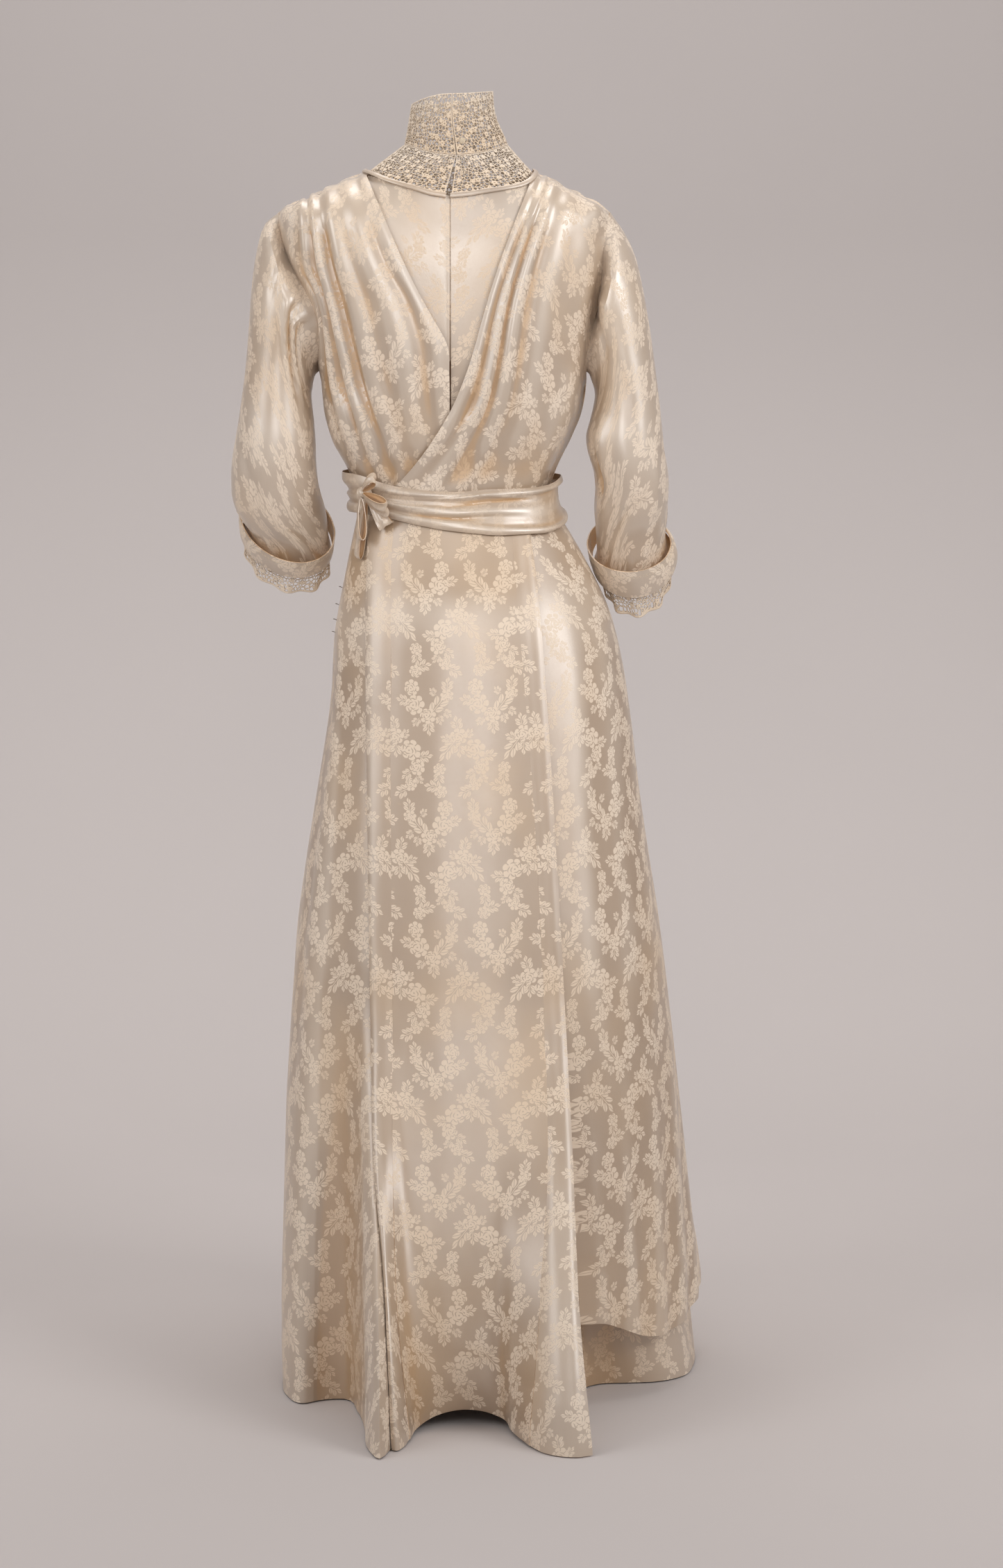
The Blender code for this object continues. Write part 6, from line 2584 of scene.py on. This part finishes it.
def gathers(count: int, width: float, top: float, length: float, rise: float, seed: int) -> tuple:
    """Small uneven ridges side by side, as a gathered edge throws them up.

    Args:
        count: How many ridges.
        width: Width of the gathered stretch, centred on the grain line.
        top: Where they start down the cloth.
        length: About how long they are; a negative length runs upward.
        rise: About how high they are.
        seed: Picks their unevenness.

    Returns:
        The ridges as creases.
    """
    random = np.random.default_rng(seed)
    found = []
    for place in uneven(count, -0.5 * width, 0.5 * width, seed):
        reach = length * random.uniform(0.5, 1.15)
        lean = random.uniform(-0.08, 0.08) * length
        height = rise * random.uniform(0.5, 1.2)
        found.append(Crease(place, top, place + lean, top + reach, height, 0.3 * width / count))
    return tuple(found)


@dataclass
class Neck:
    """The lace collar and yoke, and the bias edge below them."""

    finishes: Finishes
    net: LaceNet = LaceNet()

    def make(self) -> None:
        """Work the lace and bind its lower edge."""
        lace = {
            "finish": self.finishes.lace, "thickness": LACE_THICKNESS, "held": Held.STRETCHED,
            "net": self.net, "allowance": 3.0,
        }
        for side in Side:
            yoke = f"lace_yoke_back_{side.value}"
            CollarHalf(name=f"sewn_lace_collar_{side.value}", side=side, rests_on=(yoke,), **lace).make()
            ends = {"first": 1.0 * side.sign, "last": 89.7 * side.sign, "around": 6}
            YokePart(name=f"sewn_{yoke}", rests_on=("neck_binding",), **ends, **lace).make()
        ends = {"first": 90.3, "last": 269.7, "around": 12}
        YokePart(name="sewn_lace_yoke_front", rests_on=("neck_binding",), **ends, **lace).make()
        NeckBinding(
            name="sewn_neck_binding", finish=self.finishes.edge_silk, thickness=0.5, allowance=0.2,
            steps=(2.5, 0.8), held=Held.STRETCHED, rests_on=("bodice_front", "back_drape_right"),
            crumple=0.12,
        ).make()


@dataclass
class Bodice:
    """The two vests, the draped backs over them and the plain front.

    Each vest has its side, the height of its foot, where its pattern starts, and how far its edge at
    the centre back overlaps and is rolled.
    """

    finishes: Finishes
    vests: tuple = (
        (Side.RIGHT, 1078.0, (4.0, 30.0), 0.4, 0.2),
        (Side.LEFT, 1140.0, (19.0, -21.0), 2.6, 2.0),
    )

    def make(self) -> None:
        """Build the bodice from the inside out."""
        silk = {"finish": self.finishes.silk, "steps": (3.0, 7.0)}
        for side, bottom, shift, overlap, roll in self.vests:
            BackVest(
                name=f"sewn_back_vest_{side.value}", side=side, bottom=bottom, crumple=0.2, allowance=6.0,
                rests_on=(f"back_drape_{side.value}",), pattern_at=shift, seams=(0.5, 0.0, overlap, 0.5),
                rolled=(0.0, 0.0, roll, 0.0), **silk,
            ).make()
        for side, lines in ((Side.LEFT, LEFT_BACK_LINES), (Side.RIGHT, RIGHT_BACK_LINES)):
            BackDrape(
                name=f"sewn_back_drape_{side.value}", lines=lines, side=side, held=Held.DRAPED,
                rests_on=("sash", "neck_binding"), seed=11 + int(side.sign),
                pattern_at=(12.0 * side.sign, 20.0), turned=side is Side.RIGHT,
                sharpened=1.0 if side is Side.LEFT else 0.6, tucked=3.0, **silk,
            ).make()
        BodiceFront(
            name="sewn_bodice_front", lines=FRONT_LINES, held=Held.GATHERED,
            rests_on=("sash", "neck_binding"), tucked=3.0, seed=15, **silk,
        ).make()


# Pulls and folds of the sleeves, as places along the cloth: across from the middle of the sleeve's
# back towards the body and down from the armhole.
LEFT_SLEEVE_CREASES = creases("""
0 4 16 90 3 7
12 5 28 84 -4 5
24 4 38 70 2.6 5
34 5 46 60 -3.2 4.4
-36 4 -30 70 -2 7
58 240 4 276 -3 8
40 266 -18 300 2.6 9
-50 250 -12 296 -2 9
110 120 96 250 -3 9
-90 150 -100 260 2.6 11
160 60 150 190 3 10""")
RIGHT_SLEEVE_CREASES = creases("""
10 -4 6 60 2.4 8
30 -4 34 58 -2.6 6.5
52 96 42 172 -6 6
38 84 26 196 4 8
60 150 20 216 3 7
6 120 -12 250 -2.2 10
50 250 -8 284 -2.4 9
-40 236 -20 330 2.2 9
104 110 92 260 -3 9
-92 160 -104 270 2.6 11
158 70 150 200 3 10""")


@dataclass
class Arm:
    """One sleeve with its turned-back cuff and its lace."""

    finishes: Finishes
    side: Side
    sections: Table
    cuff_sections: Table
    frill_sections: Table
    creases: tuple
    wrist: float
    gather_count: int
    net: LaceNet = LaceNet(loop=4.6, thread=0.5, blossom_every=13.0, blossom=4.2, tape=1.3, seed=21)

    def make(self) -> None:
        """Build the sleeve, the cuff and the two halves of the lace, and sew the cuff's rim."""
        label = self.side.value
        seed = 31 if self.side is Side.LEFT else 41
        Sleeve(
            name=f"sewn_sleeve_{label}", finish=self.finishes.silk, side=self.side, sections=self.sections,
            closed=True, steps=(3.5, 7.0), held=Held.GATHERED, rests_on=(f"cuff_{label}", "bodice_front"),
            grain=0.25, crumple=0.5, seed=seed, seams=(1.6, 0.0, 0.0, 0.0), turned=self.side is Side.LEFT,
            creases=self.creases + gathers(self.gather_count, 250.0, self.wrist, -34.0, 1.5, seed),
        ).make()
        cuff = Cuff(
            name=f"sewn_cuff_{label}", finish=self.finishes.silk, sections=self.cuff_sections,
            thickness=1.6, allowance=2.5, closed=True, steps=(3.5, 2.5), held=Held.FOLDED,
            rests_on=(f"sleeve_{label}",), grain=0.25, crumple=0.4, seed=seed + 1, pattern_at=(9.0, 40.0),
            creases=gathers(9, 270.0, 5.0, 17.0, 0.9, seed + 2),
        )
        cuff.make()
        around = np.linspace(0.0, 1.0, 25)
        tracks = tuple([(share, down) for share in around] for down in (0.17, 0.225))
        Stitching(
            name=f"rim_stitches_{label}", surface=cuff.surface(), tracks=tracks, stand_off=0.92,
            finish=self.finishes.thread,
        ).make()
        for face, turn in ((Face.BACK, 0.0), (Face.FRONT, 180.0)):
            CuffFrill(
                name=f"sewn_cuff_lace_{label}_{face.value}", finish=self.finishes.lace,
                sections=self.frill_sections, first_turn=turn, thickness=LACE_THICKNESS, allowance=2.0,
                steps=(3.0, 4.0), held=Held.GATHERED, rests_on=(f"cuff_{label}",),
                seams=(0.0, 6.0 if self.side is Side.RIGHT else 3.0, 0.3, 0.3), net=self.net,
            ).make()


@dataclass
class Skirt:
    """The skirt's gores, its back panel with the train, the pleats beside it and the overskirt."""

    finishes: Finishes
    hem: float = 66.0

    def make(self) -> None:
        """Build the skirt from the inside out."""
        silk = {"finish": self.finishes.skirt_silk, "rests_on": ("sash",), "hem": self.hem}
        gores = (
            ("skirt_front", FRONT_GORE_LINES, 51, False), ("skirt_left", LEFT_GORE_LINES, 52, True),
            ("skirt_right", RIGHT_GORE_LINES, 53, False),
        )
        for name, lines, seed, turned in gores:
            about = {"name": f"sewn_{name}", "lines": lines, "seed": seed, "turned": turned}
            Gore(steps=(5.0, 11.0), **about, **silk).make()
        strips = (
            ("skirt_pleat_left", LEFT_PLEAT_LINES, 54, 0.9),
            ("skirt_pleat_right", RIGHT_PLEAT_LINES, 55, 0.0),
            ("skirt_back", BACK_PANEL_LINES, 56, 0.0),
        )
        for name, lines, seed, roll in strips:
            PanelStrip(
                name=f"sewn_{name}", lines=lines, steps=(3.0, 8.0), seed=seed, allowance=5.0,
                seams=(0.5, 0.0, 1.2, 0.5), rolled=(0.0, 0.8, roll, 0.0), **silk,
            ).make()
        Overskirt(
            name="sewn_overskirt_right", steps=(4.0, 8.0), seed=57, seams=(0.5, 0.0, 13.0, 0.0),
            rolled=(0.0, 1.0, 0.0, 1.6), **silk,
        ).make()


# The finer folds of the sash, slanting down to the right across the back and onward round the front.
SASH_CREASES = creases("""
-112 13 60 2 -1.3 1.8
-100 21 108 13 -1.5 2
-70 27 96 26 1 2.2
-104 31 92 33 -1.4 1.8
-60 36 70 40 0.9 1.8
22 5 128 17 1.1 2.2
112 9 262 20 -1.3 2.2
130 27 290 30 -1.2 2
-290 14 -130 25 -1.3 2.2
-250 34 -110 20 1 2""")

# How far each loop's ribbon is turned about its own length, in degrees.
LOOP_TWISTS = (34.0, -28.0, 40.0, 22.0, -36.0)


@dataclass
class Waist:
    """The draped sash and its knot with five ribbon loops."""

    finishes: Finishes
    knot_at: tuple = KNOT_PLACE

    def make(self) -> None:
        """Drape the sash and tie the knot."""
        silk = {"finish": self.finishes.sash_silk}
        Sash(
            name="sewn_sash", closed=True, steps=(4.0, 1.6), allowance=6.0, held=Held.DRAPED,
            rests_on=("skirt_front", "bodice_front"), seed=61, crumple=0.5, creases=SASH_CREASES, **silk,
        ).make()
        frame_at = KnotFrame.at(*self.knot_at)
        SashKnot(
            name="sewn_sash_knot", frame=frame_at, closed=True, steps=(1.2, 1.2), held=Held.FOLDED,
            rests_on=("sash",), allowance=1.0, crumple=0.15, **silk,
        ).make()
        for loop, twist in enumerate(LOOP_TWISTS, 1):
            SashLoop(
                name=f"sewn_sash_loop_{loop}", loop=loop, frame=frame_at, twist=twist, closed=True,
                steps=(1.5, 1.5), held=Held.FOLDED, rests_on=("sash_knot",), allowance=1.0, crumple=0.25,
                seed=70 + loop, **silk,
            ).make()


@dataclass
class Fastenings:
    """The small hooks and eyes, and the button wound from thread."""

    finishes: Finishes
    skirt_hooks: tuple = (882.0, 863.0, 846.0, 832.0)
    sash_hook: tuple = (-85.0, 999.0)
    skirt_hook_angle: float = -86.0
    button_ring: float = 1.7
    button_radius: float = 3.5
    yoke_eyes: tuple = (0.2, 0.48)
    crease: float = 80.0

    def hook(self, spot: Array, out: Array) -> Rod:
        """A bent wire hook lying level on the cloth, its tip turned back.

        Args:
            spot: Its place.
            out: The direction out of the cloth.

        Returns:
            The wire.
        """
        along = np.cross(out, (0.0, 0.0, 1.0))
        bends = ((-4.0, 0.2), (-1.0, 1.2), (2.8, 1.4), (3.9, 2.2), (2.8, 3.1), (0.4, 2.9))
        return Rod(np.array([spot + along * a + out * b for a, b in bends]), 0.5)

    def make(self) -> None:
        """Place the skirt's hooks, the sash's hook, the button and the two eyes."""
        metal, side = self.finishes.metal, self.skirt_hook_angle
        spots = [(side, height) for height in self.skirt_hooks]
        hooks = [self.hook(SKIRT.off(*spot, 1.4), SKIRT.outward(*spot)) for spot in spots]
        sew("skirt_hooks", hooks, metal, self.crease)
        angle = TORSO.back_angle(*self.sash_hook)
        spot = waist_point(angle, self.sash_hook[1], SASH_LAYER + 3.0)
        sew("sash_hook", [self.hook(spot, TORSO.outward(angle, WAIST_HEIGHT))], metal, self.crease)
        sew("collar_button", [self.button()], self.finishes.thread, self.crease)
        sew("neck_eyes", [self.eye(share) for share in self.yoke_eyes], metal, self.crease)

    def button(self) -> Rod:
        """Thread wound from the middle outward over a small dome."""
        spot = collar_point(self.button_ring, 8.5)
        out = np.array([0.15, -1.0, 0.0])
        up = np.array([0.0, 0.0, 1.0])
        across = np.cross(out, up)
        end = 11 * math.pi
        points = []
        for turn in np.linspace(0.4, end, 120):
            radius = self.button_radius * turn / end
            rise = 1.2 + 2.2 * math.sqrt(1 - (radius / 3.7) ** 2)
            point = spot + out * rise + across * radius * math.cos(turn)
            points.append(point + up * radius * math.sin(turn))
        return Rod(np.array(points), 0.42)

    def eye(self, share: float) -> Rod:
        """A small wire eye on the yoke's edge.

        Args:
            share: Its share of the way down the edge.

        Returns:
            The wire.
        """
        foot, rim = collar_point(1, 6.5), neck_edge_point(6.5, YOKE_LAYER, YOKE_INSET)
        spot = mix(foot, rim, share) + np.array([0.0, -1.4, 0.0])
        bends = np.linspace(0.3, 2 * math.pi - 0.3, 14)
        ring = [np.array([1.7 * math.cos(bend), 0.0, 2.1 * math.sin(bend)]) for bend in bends]
        return Rod(spot + np.array(ring), 0.38)


@dataclass(frozen=True)
class Lamp:
    """A soft square light."""

    name: str
    place: tuple
    aim: tuple
    size: float
    power: float
    spread: float = 180.0
    colour: tuple = (1.0, 0.985, 0.965)

    def make(self) -> None:
        """Hang the light and turn it to its aim."""
        data = bpy.data.lights.new(self.name, "AREA")
        data.shape, data.size, data.energy, data.color = "SQUARE", self.size, self.power, self.colour
        data.spread = math.radians(self.spread)
        lamp = bpy.data.objects.new(self.name, data)
        lamp.location = self.place
        lamp.rotation_euler = (Vector(self.aim) - Vector(self.place)).to_track_quat("-Z", "Y").to_euler()
        bpy.context.scene.collection.objects.link(lamp)


@dataclass
class Studio:
    """The camera, the pale paper sweep and the soft lights."""

    paper: Finish = StudioPaper("studio_paper")
    eye: tuple = (0.0, -4.5, -0.09)
    pitch: float = 7.534
    yaw: float = 0.728
    lens: float = 90.85
    lamps: tuple = (
        Lamp("lamp_key", (0.0, -1.9, 0.22), (0.03, 0.0, -0.38), 1.0, 1.5, 60.0),
        Lamp("lamp_left", (-2.3, -1.5, 0.75), (0.0, 0.0, -0.12), 1.5, 8.5, 110.0),
        Lamp("lamp_right", (2.2, -1.6, 0.8), (0.0, 0.0, -0.12), 1.4, 14.0, 110.0),
        Lamp("lamp_top", (0.0, 1.2, 3.2), (0.0, 1.8, -1.3), 2.6, 70.0),
    )

    def make(self) -> None:
        """Set up the camera, the paper, the lights and the room's own dim light."""
        scene = bpy.context.scene
        data = bpy.data.cameras.new("camera")
        data.sensor_width, data.lens, data.clip_end = 36.0, self.lens, 60.0
        camera = bpy.data.objects.new("camera", data)
        camera.location = self.eye
        camera.rotation_euler = (math.pi / 2 - math.radians(self.pitch), 0.0, -math.radians(self.yaw))
        scene.collection.objects.link(camera)
        scene.camera = camera
        self.sweep()
        for lamp in self.lamps:
            lamp.make()
        world = bpy.data.worlds.new("room")
        world.use_nodes = True
        light = world.node_tree.nodes["Background"]
        light.inputs["Color"].default_value = (0.86, 0.83, 0.82, 1.0)
        light.inputs["Strength"].default_value = 0.6
        scene.world = world
        scene.view_settings.view_transform = "Standard"

    def sweep(self) -> None:
        """The floor, curving up into the backdrop."""
        floor, behind, radius, top, half = -SHOULDER_HEIGHT * MM - 0.0008, 2.3, 1.3, 5.5, 9.0
        profile = [(-9.0, floor), (-3.0, floor), (behind - radius, floor)]
        for k in range(1, 13):
            turn = 0.5 * math.pi * k / 12
            place = behind - radius + radius * math.sin(turn)
            profile.append((place, floor + radius - radius * math.cos(turn)))
        profile.append((behind, top))
        made = bmesh.new()
        for line in (profile, [(behind - radius, floor - 0.002), (half, floor - 0.002)]):
            edges = [[made.verts.new((x, y, z)) for y, z in line] for x in (-half, half)]
            for k in range(len(line) - 1):
                made.faces.new([edges[0][k], edges[1][k], edges[1][k + 1], edges[0][k + 1]])
        link("paper_sweep", finished("paper_sweep", made), self.paper.material())


def main() -> None:
    """Build the gown from the neck down, then the studio round it."""
    logging.basicConfig(level=logging.INFO, format="%(name)s: %(message)s", force=True)
    finishes = Finishes()
    for part in (
        Neck(finishes), Bodice(finishes),
        Arm(finishes, Side.LEFT, LEFT_SLEEVE, LEFT_CUFF, LEFT_FRILL, LEFT_SLEEVE_CREASES, 365.0, 17),
        Arm(finishes, Side.RIGHT, RIGHT_SLEEVE, RIGHT_CUFF, RIGHT_FRILL, RIGHT_SLEEVE_CREASES, 375.0, 15),
        Skirt(finishes), Waist(finishes), Fastenings(finishes), Studio(),
    ):
        LOG.info("making the %s", type(part).__name__.lower())
        part.make()
    pieces = [item for item in bpy.context.scene.objects if item.type == "MESH" and not item.hide_render]
    count = sum(len(face.vertices) - 2 for item in pieces for face in item.data.polygons)
    LOG.info("%d pieces, %d triangles", len(pieces), count)


if __name__ == "__main__":
    main()
